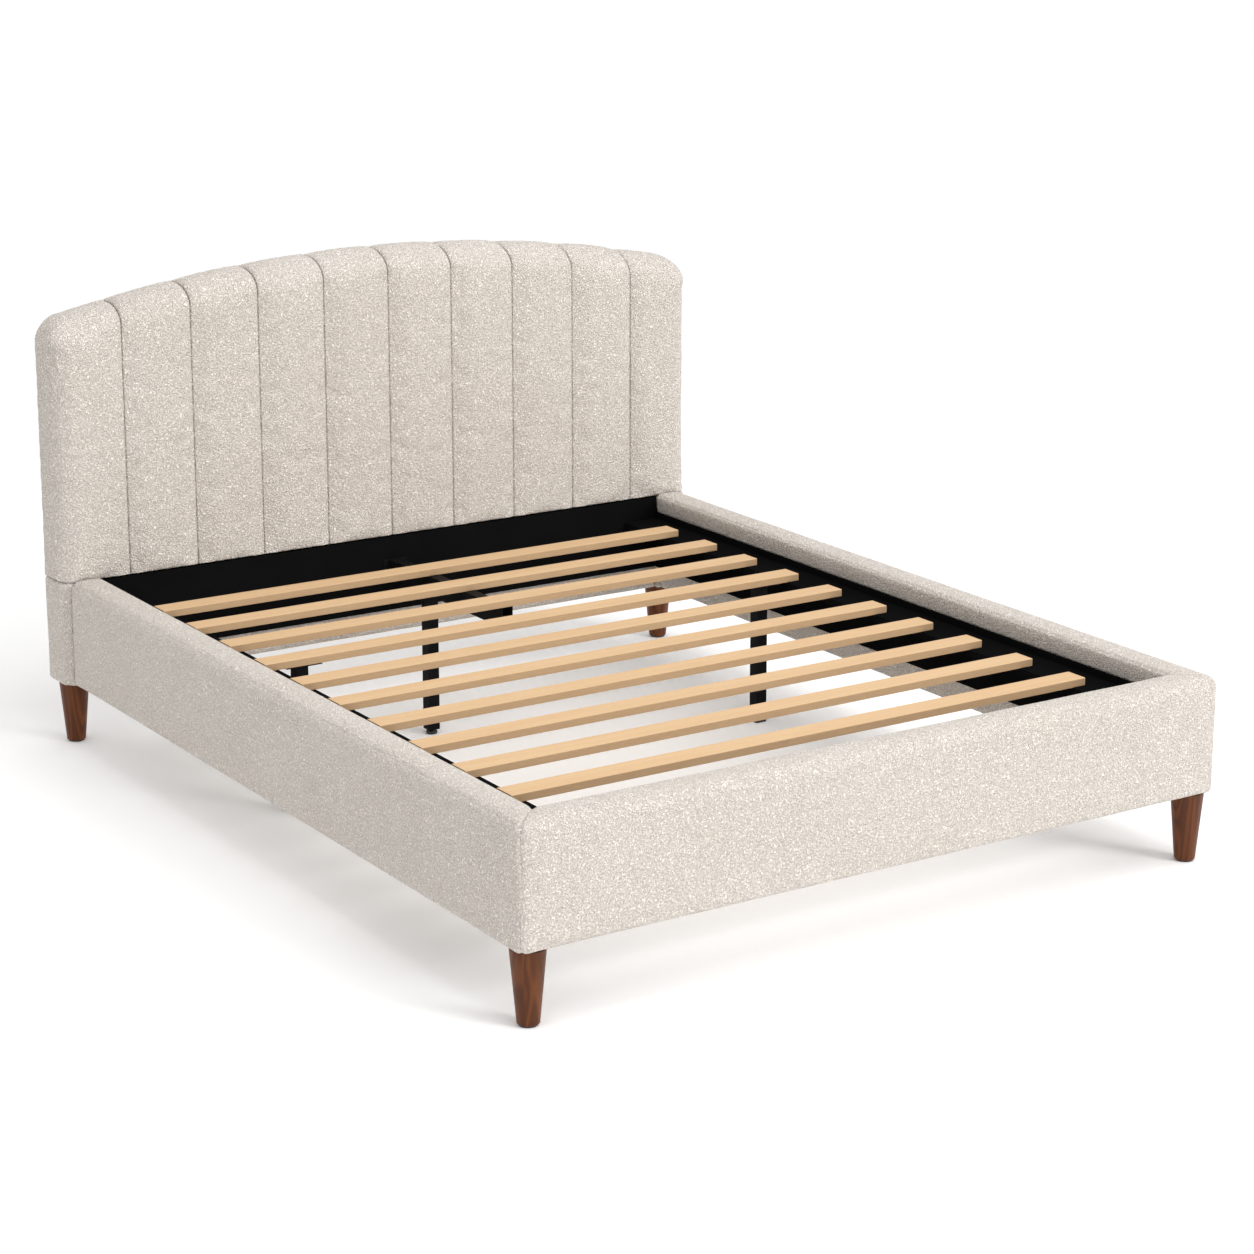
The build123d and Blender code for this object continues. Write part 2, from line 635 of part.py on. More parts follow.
# ---------------------------------------------------------------- the bed
def bed():
    """Every piece of the bed, by node name."""
    bolt_holes = bed_bolt_holes()
    nut_holes = barrel_rods(BORE_CLEARANCE)
    stud_holes = hanger_bolts(BORE_CLEARANCE)
    corner_holes = corner_bolts(BORE_CLEARANCE)
    screw_holes = slat_screws(BORE_CLEARANCE)
    support_holes = support_bolts(BORE_CLEARANCE)

    nodes = {f"channel_pad_{number:02d}": pad for number, pad in enumerate(channel_pads(), 1)}
    nodes["headboard_panel"] = drilled(headboard_panel(), bolt_holes)
    nodes["headboard_posts"] = solids_of(
        *[drilled(post, bolt_holes + stud_holes) for post in headboard_posts()])
    nodes["headboard_rails"] = solids_of(*headboard_rails())
    nodes["headboard_blocks"] = solids_of(
        *[drilled(piece, bolt_holes) for piece in headboard_blocks()])
    nodes["head_cross_board"] = head_cross_board()
    nodes["headboard_lower_foam"] = solids_of(*[drilled(piece, bolt_holes) for piece in lower_foam()])
    nodes["headboard_lower_cover"] = drilled(lower_cover(), bolt_holes + stud_holes)
    nodes["headboard_back_cover"] = back_cover()

    core = drilled(side_rail_core(), bolt_holes + nut_holes + stud_holes + corner_holes)
    foam = side_rail_piece(foam_section())
    cover = drilled(side_rail_piece(cover_section()), stud_holes)
    lining = drilled(side_lining(), corner_holes)
    ledge = drilled(slat_ledge(), screw_holes)
    for name, piece in (("side_rail_core", core), ("side_rail_cover", cover),
                        ("side_lining", lining), ("slat_ledge", ledge)):
        nodes[f"{name}_right"] = piece
        nodes[f"{name}_left"] = other_side(piece)
    nodes["foot_rail_core"] = drilled(foot_rail_core(), stud_holes + corner_holes)
    nodes["foot_rail_cover"] = drilled(foot_rail_piece(cover_section()), stud_holes)
    nodes["foot_lining"] = drilled(foot_lining(), corner_holes)
    nodes["rail_foam"] = solids_of(foam, other_side(foam), foot_rail_piece(foam_section()))
    nodes["ledge_cleats"] = solids_of(*ledge_cleats())

    for number, slat in enumerate(slats(), 1):
        nodes[f"slat_{number:02d}"] = drilled(slat, screw_holes + support_holes)

    nodes["centre_beam"] = centre_beam()
    nodes["beam_bracket"] = beam_bracket()
    nodes["centre_support_leg"] = drilled(support_leg(*centre_leg_place()), support_holes)
    nodes["outer_support_legs"] = solids_of(
        *[drilled(support_leg(*place), support_holes) for place in outer_leg_places()])
    nodes["levelling_foot"] = levelling_foot(*centre_leg_place())
    nodes["outer_leg_caps"] = solids_of(*outer_leg_caps())

    for name, (x, y) in leg_places().items():
        nodes[name] = drilled(turned_leg(x, y), stud_holes)
    nodes["leg_glides"] = solids_of(*leg_glides())
    nodes["hanger_bolts"] = solids_of(*hanger_bolts())
    nodes["bed_bolts"] = solids_of(*bed_bolts())
    nodes["barrel_nuts"] = solids_of(*[drilled(nut, bolt_holes) for nut in barrel_rods(0.0)])
    nodes["corner_brackets"] = solids_of(*[drilled(piece, corner_holes) for piece in corner_brackets()])
    nodes["corner_bolts"] = solids_of(*corner_bolts())
    nodes["slat_screws"] = solids_of(*slat_screws())
    nodes["support_leg_bolts"] = solids_of(*support_bolts())
    return nodes


os.makedirs("parts", exist_ok=True)
for node, piece in bed().items():
    export_step(piece, f"parts/{node}.step")
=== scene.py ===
"""Upholstered bed with an arched, channel-padded headboard, slats and turned legs.

Metres throughout. +Z is up, +Y points to the headboard and +X to the right as seen from the foot.
"""

import json
import logging
import math
from dataclasses import dataclass, field
from enum import Enum

import bpy
import numpy as np
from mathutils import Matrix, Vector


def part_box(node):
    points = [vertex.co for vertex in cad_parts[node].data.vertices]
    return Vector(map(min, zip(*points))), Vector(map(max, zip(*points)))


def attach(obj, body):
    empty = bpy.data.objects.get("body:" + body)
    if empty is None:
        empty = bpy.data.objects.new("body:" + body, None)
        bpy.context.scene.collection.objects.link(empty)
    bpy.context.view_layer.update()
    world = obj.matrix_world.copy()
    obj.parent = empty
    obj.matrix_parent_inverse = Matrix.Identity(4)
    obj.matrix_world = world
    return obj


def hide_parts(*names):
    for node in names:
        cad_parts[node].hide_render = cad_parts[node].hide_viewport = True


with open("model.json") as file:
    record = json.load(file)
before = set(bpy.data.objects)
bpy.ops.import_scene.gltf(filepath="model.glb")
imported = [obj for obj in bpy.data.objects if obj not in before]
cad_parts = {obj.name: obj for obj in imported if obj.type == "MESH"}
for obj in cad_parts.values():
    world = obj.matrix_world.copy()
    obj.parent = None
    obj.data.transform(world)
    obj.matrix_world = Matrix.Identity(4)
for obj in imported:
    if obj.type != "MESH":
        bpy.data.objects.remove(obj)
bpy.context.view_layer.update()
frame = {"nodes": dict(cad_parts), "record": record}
LOG = logging.getLogger("bed")
ROOT = "frame"
MIRROR = np.array([-1.0, 1.0, 1.0])
ARC_POINTS = 13
WAVES = np.array([[11, 3, 17, 0.3], [-7, 19, 5, 1.7], [23, -13, 9, 2.9], [5, 29, -21, 4.1], [31, 7, 27, 5.3]])
WAVE_GAIN = 1.6
RIPPLE = 0.0006
MERGE_FINENESS = 1e5


class Side(Enum):
    """The two sides of the bed, seen from the foot."""

    LEFT = -1
    RIGHT = 1


# ------------------------------------------------------------------ points and lines
def even(start: float, stop: float, spacing: float) -> np.ndarray:
    """Evenly spaced numbers, both ends included.

    Args:
        start: First number.
        stop: Last number.
        spacing: Largest step between neighbours.

    Returns:
        The numbers as an array.
    """
    return np.linspace(start, stop, max(2, int(math.ceil(abs(stop - start) / spacing)) + 1))


def eased(count: int) -> np.ndarray:
    """Fractions from 0 to 1 that crowd towards 1: the sine of evenly spaced angles.

    Args:
        count: How many fractions.

    Returns:
        The fractions as an array.
    """
    return np.sin(np.linspace(0.0, math.pi / 2, count))


def run_lengths(line: np.ndarray) -> np.ndarray:
    """Distance along a line up to each point: the running sum of its steps' lengths.

    Args:
        line: Points, one per row.

    Returns:
        One length per point, starting at zero.
    """
    return np.concatenate([[0.0], np.cumsum(np.linalg.norm(np.diff(line, axis=0), axis=1))])


def along(line: np.ndarray, places: np.ndarray) -> np.ndarray:
    """Points at given distances along a line, interpolated between its own points.

    Args:
        line: Points, one per row.
        places: Distances from the line's start.

    Returns:
        One point per distance.
    """
    lengths = run_lengths(line)
    return np.stack([np.interp(places, lengths, column) for column in line.T], axis=1)


def rounded_line(corners: list[tuple[float, float, float]], closed: bool = False) -> np.ndarray:
    """A line through corners, each replaced by an arc of its own radius.

    Formula: the arc's centre lies on the corner's bisector at radius / sin(half angle), and the
    arc joins the two tangent points radius / tan(half angle) away from the corner.

    Args:
        corners: Each corner's two coordinates and its radius.
        closed: Whether the last corner joins the first.

    Returns:
        The rounded line's points, one per row.
    """
    spots = np.array([corner[:2] for corner in corners])
    pieces = []
    for index, (*_, radius) in enumerate(corners):
        here = spots[index]
        if radius == 0.0 or (not closed and index in (0, len(corners) - 1)):
            pieces.append(here[None, :])
            continue
        back = spots[index - 1] - here
        ahead = spots[(index + 1) % len(spots)] - here
        back, ahead = back / np.linalg.norm(back), ahead / np.linalg.norm(ahead)
        half = 0.5 * math.acos(float(np.clip(back @ ahead, -1.0, 1.0)))
        centre = here + (back + ahead) / np.linalg.norm(back + ahead) * radius / math.sin(half)
        first, last = (here + way * radius / math.tan(half) - centre for way in (back, ahead))
        turn = math.atan2(first[0] * last[1] - first[1] * last[0], first @ last)
        angle = math.atan2(first[1], first[0]) + np.linspace(0.0, turn, ARC_POINTS)
        pieces.append(centre + radius * np.stack([np.cos(angle), np.sin(angle)], axis=1))
    line = np.concatenate(pieces)
    return np.concatenate([line, line[:1]]) if closed else line


def ripple(points: np.ndarray, size: float) -> np.ndarray:
    """A slow unevenness of stretched fabric: a sum of crossed sine waves of fixed directions.

    Args:
        points: Places, one per row.
        size: Largest height of the waves.

    Returns:
        One height per place.
    """
    angles = points @ WAVES[:, :3].T + WAVES[:, 3]
    return size * np.sin(angles).mean(axis=1) * WAVE_GAIN


# ------------------------------------------------------------------ meshes
@dataclass
class Patchwork:
    """Grids of points gathered into one surface, joined where their borders meet."""

    points: list[np.ndarray] = field(default_factory=list)
    quads: list[np.ndarray] = field(default_factory=list)
    marks: list[np.ndarray] = field(default_factory=list)
    count: int = 0

    def add(self, grid: np.ndarray, marks: np.ndarray | None = None, flip: bool = False) -> None:
        """Adds a grid; each cell becomes one four-sided face.

        Args:
            grid: Points in rows and columns, shape (rows, columns, 3).
            marks: Optional numbers carried by each point, shape (rows, columns, any).
            flip: Whether the faces turn the other way.
        """
        rows, columns = grid.shape[:2]
        index = self.count + np.arange(rows * columns).reshape(rows, columns)
        cell = [index[:-1, :-1], index[:-1, 1:], index[1:, 1:], index[1:, :-1]]
        cell = cell[::-1] if flip else cell
        self.quads.append(np.stack([corner.ravel() for corner in cell], axis=1))
        self.points.append(grid.reshape(-1, 3))
        if marks is not None:
            self.marks.append(marks.reshape(rows * columns, -1))
        self.count += rows * columns

    def joined(self) -> tuple[np.ndarray, np.ndarray, np.ndarray | None]:
        """Merges points that share a place, rounded to a hundredth of a millimetre.

        Returns:
            The points, the faces and the marks of the merged surface.
        """
        points = np.concatenate(self.points)
        keys = np.round(points * MERGE_FINENESS).astype(np.int64)
        _, first, index = np.unique(keys, axis=0, return_index=True, return_inverse=True)
        quads = index.reshape(-1)[np.concatenate(self.quads)]
        marks = np.concatenate(self.marks)[first] if self.marks else None
        return points[first], quads, marks


def surface(grid: np.ndarray, flip: bool = False) -> tuple[np.ndarray, np.ndarray]:
    """One grid as a surface, joined where its own borders meet.

    Args:
        grid: Points in rows and columns, shape (rows, columns, 3).
        flip: Whether the faces turn the other way.

    Returns:
        Points and faces.
    """
    work = Patchwork()
    work.add(grid, flip=flip)
    return work.joined()[:2]


def normals_of(points: np.ndarray, quads: np.ndarray) -> np.ndarray:
    """Outward direction at each point: the sum of its faces' crossed diagonals, made unit length.

    Args:
        points: Places, one per row.
        quads: Four point numbers per face.

    Returns:
        One unit vector per point.
    """
    corners = points[quads]
    flat = np.cross(corners[:, 2] - corners[:, 0], corners[:, 3] - corners[:, 1])
    total = np.zeros_like(points)
    for corner in range(4):
        np.add.at(total, quads[:, corner], flat)
    return total / np.maximum(np.linalg.norm(total, axis=1, keepdims=True), 1e-12)


def new_object(name: str, points: np.ndarray, quads: np.ndarray) -> bpy.types.Object:
    """Makes a smooth-shaded mesh object at the origin.

    Args:
        name: The object's name.
        points: Places, one per row.
        quads: Four point numbers per face.

    Returns:
        The new object, linked into the scene.
    """
    mesh = bpy.data.meshes.new(name)
    mesh.from_pydata(points.tolist(), [], quads.tolist())
    mesh.polygons.foreach_set("use_smooth", np.ones(len(quads), bool))
    mesh.update()
    made = bpy.data.objects.new(name, mesh)
    bpy.context.scene.collection.objects.link(made)
    return made


def thicken(made: bpy.types.Object, depth: float) -> None:
    """Softens a skin by one subdivision, then gives it a closed thickness behind its face.

    Args:
        made: The object that is a skin.
        depth: Thickness, measured inwards.
    """
    soft = made.modifiers.new("soft", "SUBSURF")
    soft.levels = 1
    soft.render_levels = 1
    soft.boundary_smooth = "PRESERVE_CORNERS"
    wall = made.modifiers.new("wall", "SOLIDIFY")
    wall.thickness = depth
    wall.offset = -1.0
    wall.use_even_offset = False


@dataclass(frozen=True)
class Stuffing:
    """Fills a fabric skin from behind with Blender's cloth and keeps the settled shape."""

    pressure: float
    cap: float
    growth: float = 0.012
    frames: int = 20
    tension: float = 15.0
    shear: float = 5.0
    bending: float = 0.6
    mass: float = 0.3

    def fill(self, points: np.ndarray, quads: np.ndarray, held: np.ndarray) -> np.ndarray:
        """Inflates the skin between its held points.

        The move of every point is shortened to the cap: move * min(1, cap / length of the move).

        Args:
            points: Places before filling.
            quads: Four point numbers per face.
            held: True for each point sewn or stapled down.

        Returns:
            Places after filling.
        """
        trial = new_object("filling_trial", points, quads)
        group = trial.vertex_groups.new(name="held")
        group.add(np.flatnonzero(held).tolist(), 1.0, "REPLACE")
        cloth = trial.modifiers.new("cloth", "CLOTH")
        rules = cloth.settings
        rules.quality = 5
        rules.mass = self.mass
        rules.tension_stiffness = self.tension
        rules.compression_stiffness = self.tension
        rules.shear_stiffness = self.shear
        rules.bending_stiffness = self.bending
        rules.use_pressure = True
        rules.uniform_pressure_force = self.pressure
        rules.shrink_min = -self.growth
        rules.vertex_group_mass = "held"
        rules.effector_weights.gravity = 0.0
        cloth.collision_settings.use_collision = False
        cloth.point_cache.frame_start = 1
        cloth.point_cache.frame_end = self.frames
        scene = bpy.context.scene
        for moment in range(1, self.frames + 1):
            scene.frame_set(moment)
        settled = trial.evaluated_get(bpy.context.evaluated_depsgraph_get()).to_mesh()
        places = np.empty(len(settled.vertices) * 3)
        settled.vertices.foreach_get("co", places)
        move = places.reshape(-1, 3) - points
        length = np.maximum(np.linalg.norm(move, axis=1, keepdims=True), 1e-9)
        mesh = trial.data
        bpy.data.objects.remove(trial)
        bpy.data.meshes.remove(mesh)
        scene.frame_set(1)
        return points + move * np.minimum(1.0, self.cap / length)


# ------------------------------------------------------------------ shader building
class Graph:
    """A thin helper that places and joins nodes in one node tree."""

    def __init__(self, tree: bpy.types.NodeTree) -> None:
        """Keeps the tree.

        Args:
            tree: The node tree to build in.
        """
        self.tree = tree

    def add(self, kind: str, settings: dict | None = None, **inputs: object) -> bpy.types.Node:
        """Places a node, with its settings and inputs.

        Args:
            kind: The node's type name.
            settings: Attributes of the node.
            inputs: Values or sockets for its inputs, named with underscores for spaces.

        Returns:
            The new node.
        """
        node = self.tree.nodes.new(kind)
        for key, value in (settings or {}).items():
            setattr(node, key, value)
        for key, value in inputs.items():
            socket = node.inputs[int(key[1:])] if key[1:].isdigit() else node.inputs[key.replace("_", " ")]
            if isinstance(value, bpy.types.NodeSocket):
                self.tree.links.new(value, socket)
            else:
                socket.default_value = value
        return node

    def maths(self, operation: str, first: object, second: object = 0.0) -> bpy.types.NodeSocket:
        """One step of arithmetic.

        Args:
            operation: Blender's name of the operation.
            first: First value or socket.
            second: Second value or socket.

        Returns:
            The result's socket.
        """
        return self.add("ShaderNodeMath", {"operation": operation}, _0=first, _1=second).outputs[0]

    def scaled(self, place: object, scale: object) -> bpy.types.NodeSocket:
        """Coordinates times a number.

        Args:
            place: The coordinates' socket.
            scale: The number or its socket.

        Returns:
            The scaled coordinates' socket.
        """
        return self.add("ShaderNodeVectorMath", {"operation": "SCALE"}, _0=place, Scale=scale).outputs[0]

    def fit(self, value: object, low: float, high: float, new_low: float,
            new_high: float) -> bpy.types.NodeSocket:
        """Maps a range of values to another, with a smooth start and end.

        Args:
            value: The value or socket.
            low: Start of the old range.
            high: End of the old range.
            new_low: Start of the new range.
            new_high: End of the new range.

        Returns:
            The result's socket.
        """
        node = self.add("ShaderNodeMapRange", {"interpolation_type": "SMOOTHSTEP"}, Value=value, From_Min=low,
                        From_Max=high, To_Min=new_low, To_Max=new_high)
        return node.outputs["Result"]

    def blend(self, amount: object, first: object, second: object) -> bpy.types.NodeSocket:
        """Mixes two colours.

        Args:
            amount: Share of the second colour.
            first: First colour or socket.
            second: Second colour or socket.

        Returns:
            The mixed colour's socket.
        """
        node = self.add("ShaderNodeMix", {"data_type": "RGBA"}, _0=amount, _6=first, _7=second)
        return node.outputs[2]

    def noise(self, place: object, scale: float, detail: float, twist: float = 0.0) -> bpy.types.NodeSocket:
        """A noise texture's value.

        Args:
            place: The coordinates' socket.
            scale: Features per metre.
            detail: Octaves of finer noise.
            twist: Distortion.

        Returns:
            The value's socket.
        """
        node = self.add("ShaderNodeTexNoise", None, Vector=place, Scale=scale, Detail=detail, Distortion=twist)
        return node.outputs["Fac"]


class Effect(Enum):
    """Shader effects shared by several finishes."""

    LOOPS = "yarn_loops"
    GRAIN = "wood_grain"
    SPECKLE = "fine_speckle"


def group_tree(effect: Effect, inputs: dict[str, float], outputs: list[str]) -> tuple[Graph, dict, dict]:
    """Starts a shader node group with named sockets.

    Args:
        effect: Which effect the group holds.
        inputs: Names and default values of its number inputs; a place input is always added.
        outputs: Names of its number outputs.

    Returns:
        The group's graph, its input sockets by name and its output node's sockets by name.
    """
    tree = bpy.data.node_groups.new(effect.value, "ShaderNodeTree")
    tree.interface.new_socket(name="Place", in_out="INPUT", socket_type="NodeSocketVector")
    for name, value in inputs.items():
        socket = tree.interface.new_socket(name=name, in_out="INPUT", socket_type="NodeSocketFloat")
        socket.default_value = value
    for name in outputs:
        tree.interface.new_socket(name=name, in_out="OUTPUT", socket_type="NodeSocketFloat")
    ends = tree.nodes.new("NodeGroupInput"), tree.nodes.new("NodeGroupOutput")
    return Graph(tree), {s.name: s for s in ends[0].outputs}, {s.name: s for s in ends[1].inputs}


def loops_group() -> bpy.types.NodeTree:
    """Curly yarn loops: domes round scattered points, pulled about by noise, with curled ridges over them.

    Height is dome share * dome + (1 - dome share) * ridge. All scales are features per loop size.

    Returns:
        The node group; Height is the pile's height, the middle output is 1 down between loops and sets where
        shade is painted, Drift is a slow change.
    """
    stir_scale, stir_reach, dome_scale, dome_spread, dome_width = 0.7, 1.5, 0.82, 0.9, 0.85
    ridge_scale, ridge_twist, ridge_width, dome_share = 1.05, 0.9, 0.15, 0.45
    deepest, shallowest, drift_scale = 0.25, 0.72, 4.5
    graph, given, result = group_tree(Effect.LOOPS, {"Size": 0.005}, ["Height", "Depth", "Drift"])
    place = graph.scaled(given["Place"], graph.maths("DIVIDE", 1.0, given["Size"]))
    stir = graph.add("ShaderNodeTexNoise", None, Vector=place, Scale=stir_scale, Detail=1.0).outputs["Color"]
    stirred = graph.add("ShaderNodeVectorMath", {"operation": "MULTIPLY_ADD"}, _0=stir,
                        _1=(stir_reach, stir_reach, stir_reach), _2=place)
    loops = graph.add("ShaderNodeTexVoronoi", None, Vector=stirred.outputs[0], Scale=dome_scale,
                      Randomness=dome_spread)
    dome = graph.fit(loops.outputs["Distance"], 0.0, dome_width, 1.0, 0.0)
    middle = graph.maths("SUBTRACT", graph.noise(place, ridge_scale, 0.0, ridge_twist), 0.5)
    ridge = graph.fit(graph.maths("ABSOLUTE", middle), 0.0, ridge_width, 1.0, 0.0)
    height = graph.maths("ADD", graph.maths("MULTIPLY", dome, dome_share),
                         graph.maths("MULTIPLY", ridge, 1.0 - dome_share))
    graph.tree.links.new(height, result["Height"])
    # Mask for the painted shade between the loops: 1 where the pile is low.
    graph.tree.links.new(graph.fit(height, deepest, shallowest, 1.0, 0.0), result["Depth"])
    graph.tree.links.new(graph.noise(given["Place"], drift_scale, 3.0), result["Drift"])
    return graph.tree


def grain_group() -> bpy.types.NodeTree:
    """Wood grain along one axis: rings bent by noise, fine pores drawn out along the grain.

    Returns:
        The node group; Rings and Pores run from 0 to 1, Tone is a slow change.
    """
    stretch, bend_scale, bend_twist, ring_rate = 0.07, 9.0, 0.6, 1.7
    pore_scale, pore_low, pore_high, tone_scale = 0.7, 0.52, 0.72, 14.0
    sizes = {"Ring": 0.02, "Pore": 0.0012}
    graph, given, result = group_tree(Effect.GRAIN, sizes, ["Rings", "Pores", "Tone"])
    drawn = graph.add("ShaderNodeMapping", None, Vector=given["Place"], Scale=(stretch, 1.0, 1.0)).outputs[0]
    spread = graph.maths("DIVIDE", graph.noise(drawn, bend_scale, 3.0, bend_twist), given["Ring"])
    wave = graph.maths("SINE", graph.maths("MULTIPLY", spread, ring_rate))
    dense = graph.scaled(drawn, graph.maths("DIVIDE", 1.0, given["Pore"]))
    pores = graph.fit(graph.noise(dense, pore_scale, 2.0), pore_low, pore_high, 0.0, 1.0)
    graph.tree.links.new(graph.fit(wave, -1.0, 1.0, 0.0, 1.0), result["Rings"])
    graph.tree.links.new(pores, result["Pores"])
    graph.tree.links.new(graph.noise(drawn, tone_scale, 4.0), result["Tone"])
    return graph.tree


def speckle_group() -> bpy.types.NodeTree:
    """Fine grit of a painted or moulded surface, with slow cloudy wear.

    Returns:
        The node group; Grit and Cloud run from 0 to 1.
    """
    cloud_scale, cloud_low, cloud_high = 7.0, 0.35, 0.7
    graph, given, result = group_tree(Effect.SPECKLE, {"Size": 0.0012}, ["Grit", "Cloud"])
    place = graph.scaled(given["Place"], graph.maths("DIVIDE", 1.0, given["Size"]))
    cloud = graph.fit(graph.noise(given["Place"], cloud_scale, 5.0), cloud_low, cloud_high, 0.0, 1.0)
    graph.tree.links.new(graph.noise(place, 1.0, 3.0), result["Grit"])
    graph.tree.links.new(cloud, result["Cloud"])
    return graph.tree


GROUP_MAKERS = {Effect.LOOPS: loops_group, Effect.GRAIN: grain_group, Effect.SPECKLE: speckle_group}


Colour = tuple[float, float, float]


@dataclass(frozen=True)
class Finish:
    """What every finish has: a name, a base colour and a roughness."""

    name: str
    colour: Colour
    roughness: float

    def material(self) -> bpy.types.Material:
        """The finish's material, built on first use."""
        return bpy.data.materials.get(self.name) or self.build()

    def start(self) -> tuple[bpy.types.Material, Graph, bpy.types.Node, bpy.types.NodeSocket]:
        """Makes an empty material with its shader.

        Returns:
            The material, its graph, the shader node and the object coordinates' socket.
        """
        material = bpy.data.materials.new(self.name)
        material.use_nodes = True
        graph = Graph(material.node_tree)
        shader = material.node_tree.nodes["Principled BSDF"]
        shader.inputs["Roughness"].default_value = self.roughness
        material.diffuse_color = (*self.colour, 1.0)
        return material, graph, shader, graph.add("ShaderNodeTexCoord").outputs["Object"]

    def use(self, graph: Graph, effect: Effect, place: object, **inputs: object) -> bpy.types.Node:
        """Places a shared effect in this material; the effect's group is built on first use.

        Args:
            graph: The material's graph.
            effect: Which effect.
            place: Coordinates' socket.
            inputs: The effect's own inputs.

        Returns:
            The group node.
        """
        tree = bpy.data.node_groups.get(effect.value) or GROUP_MAKERS[effect]()
        node = graph.add("ShaderNodeGroup", {"node_tree": tree}, Place=place)
        for key, value in inputs.items():
            node.inputs[key].default_value = value
        return node

    def relief(self, graph: Graph, shader: bpy.types.Node, height: object, strength: float,
               distance: float) -> None:
        """Feeds a height through a bump node to the shader's normal.

        Args:
            graph: The material's graph.
            shader: The shader node.
            height: The height's socket.
            strength: Strength of the bump.
            distance: Height in metres of a full step.
        """
        bump = graph.add("ShaderNodeBump", None, Strength=strength, Distance=distance, Height=height)
        graph.tree.links.new(bump.outputs["Normal"], shader.inputs["Normal"])

    def build(self) -> bpy.types.Material:
        """Builds the nodes; each kind of finish has its own."""
        raise NotImplementedError


@dataclass(frozen=True)
class LoopedCloth(Finish):
    """Looped upholstery cloth: curly pile, painted shade down between the loops, soft sheen."""

    # Colour of the painted shade down between the loops.
    painted_crevice_shade: Colour = (0.40, 0.355, 0.315)
    size: float = 0.0050
    height: float = 0.0042
    sheen: float = 0.12
    # Strength of that painted shade.
    shade: float = 0.52
    aged: Colour = (0.97, 0.962, 0.95)

    def build(self) -> bpy.types.Material:
        """Mixes the loop colour with a darker colour by pile depth, which paints shade between the loops, and
        bumps by pile height.
        """
        material, graph, shader, place = self.start()
        loops = self.use(graph, Effect.LOOPS, place, Size=self.size)
        drift = graph.fit(loops.outputs["Drift"], 0.3, 0.7, 0.0, 1.0)
        warm = tuple(value * factor for value, factor in zip(self.colour, self.aged))
        body = graph.blend(drift, (*self.colour, 1.0), (*warm, 1.0))
        # Painted shade: darkens the cloth towards the shade colour where the pile is deep between the loops.
        dark = graph.maths("MULTIPLY", loops.outputs["Depth"], self.shade)
        graph.tree.links.new(graph.blend(dark, body, (*self.painted_crevice_shade, 1.0)), shader.inputs["Base Color"])
        shader.inputs["Sheen Weight"].default_value = self.sheen
        shader.inputs["Sheen Roughness"].default_value = 0.6
        shader.inputs["Specular IOR Level"].default_value = 0.15
        self.relief(graph, shader, loops.outputs["Height"], 1.0, self.height)
        return material


@dataclass(frozen=True)
class Timber(Finish):
    """Solid or stained wood with grain along one axis."""

    dark: Colour = (0.4, 0.25, 0.12)
    turned: tuple[float, float, float] = (0.0, 0.0, 0.0)
    ring: float = 0.02
    contrast: float = 0.5
    coat: float = 0.0
    # edge sets how strongly shade is painted on faces that are not up or down.
    edge: float = 0.0
    shine: float = 0.4
    tone_share: float = 0.3
    pore_share: float = 0.35
    # Darkness of that painted shade on side faces, as a share of the dark wood colour.
    painted_shade_tone: float = 0.45

    def build(self) -> bpy.types.Material:
        """Mixes two wood colours by the rings and pores; pores are rougher, and faces that are not up or down
        get painted shade.
        """
        material, graph, shader, place = self.start()
        turned = graph.add("ShaderNodeMapping", None, Vector=place, Rotation=self.turned).outputs[0]
        grain = self.use(graph, Effect.GRAIN, turned, Ring=self.ring)
        share = graph.maths("MULTIPLY", grain.outputs["Rings"], self.contrast)
        body = graph.blend(share, (*self.colour, 1.0), (*self.dark, 1.0))
        tone = graph.maths("MULTIPLY", graph.fit(grain.outputs["Tone"], 0.35, 0.65, 0.0, 1.0), self.tone_share)
        body = graph.blend(tone, body, (*self.dark, 1.0))
        # Painted shade: faces whose normal is not up or down, such as the slats' sides, are darkened to stand
        # in for the shade they lie in.
        if self.edge:
            normal = graph.add("ShaderNodeTexCoord").outputs["Normal"]
            facing = graph.add("ShaderNodeSeparateXYZ", None, Vector=normal).outputs["Z"]
            painted_side_shade = graph.fit(graph.maths("ABSOLUTE", facing), 0.3, 0.8, self.edge, 0.0)
            body = graph.blend(painted_side_shade, body, (*(value * self.painted_shade_tone for value in self.dark), 1.0))
        pores = graph.maths("MULTIPLY", grain.outputs["Pores"], self.pore_share)
        graph.tree.links.new(graph.blend(pores, body, (*self.dark, 1.0)), shader.inputs["Base Color"])
        rough = graph.fit(grain.outputs["Pores"], 0.0, 1.0, self.roughness, min(1.0, self.roughness + 0.15))
        graph.tree.links.new(rough, shader.inputs["Roughness"])
        shader.inputs["Coat Weight"].default_value = self.coat
        shader.inputs["Coat Roughness"].default_value = 0.25
        shader.inputs["Specular IOR Level"].default_value = self.shine
        self.relief(graph, shader, graph.maths("SUBTRACT", 1.0, grain.outputs["Pores"]), 0.35, 0.0003)
        return material


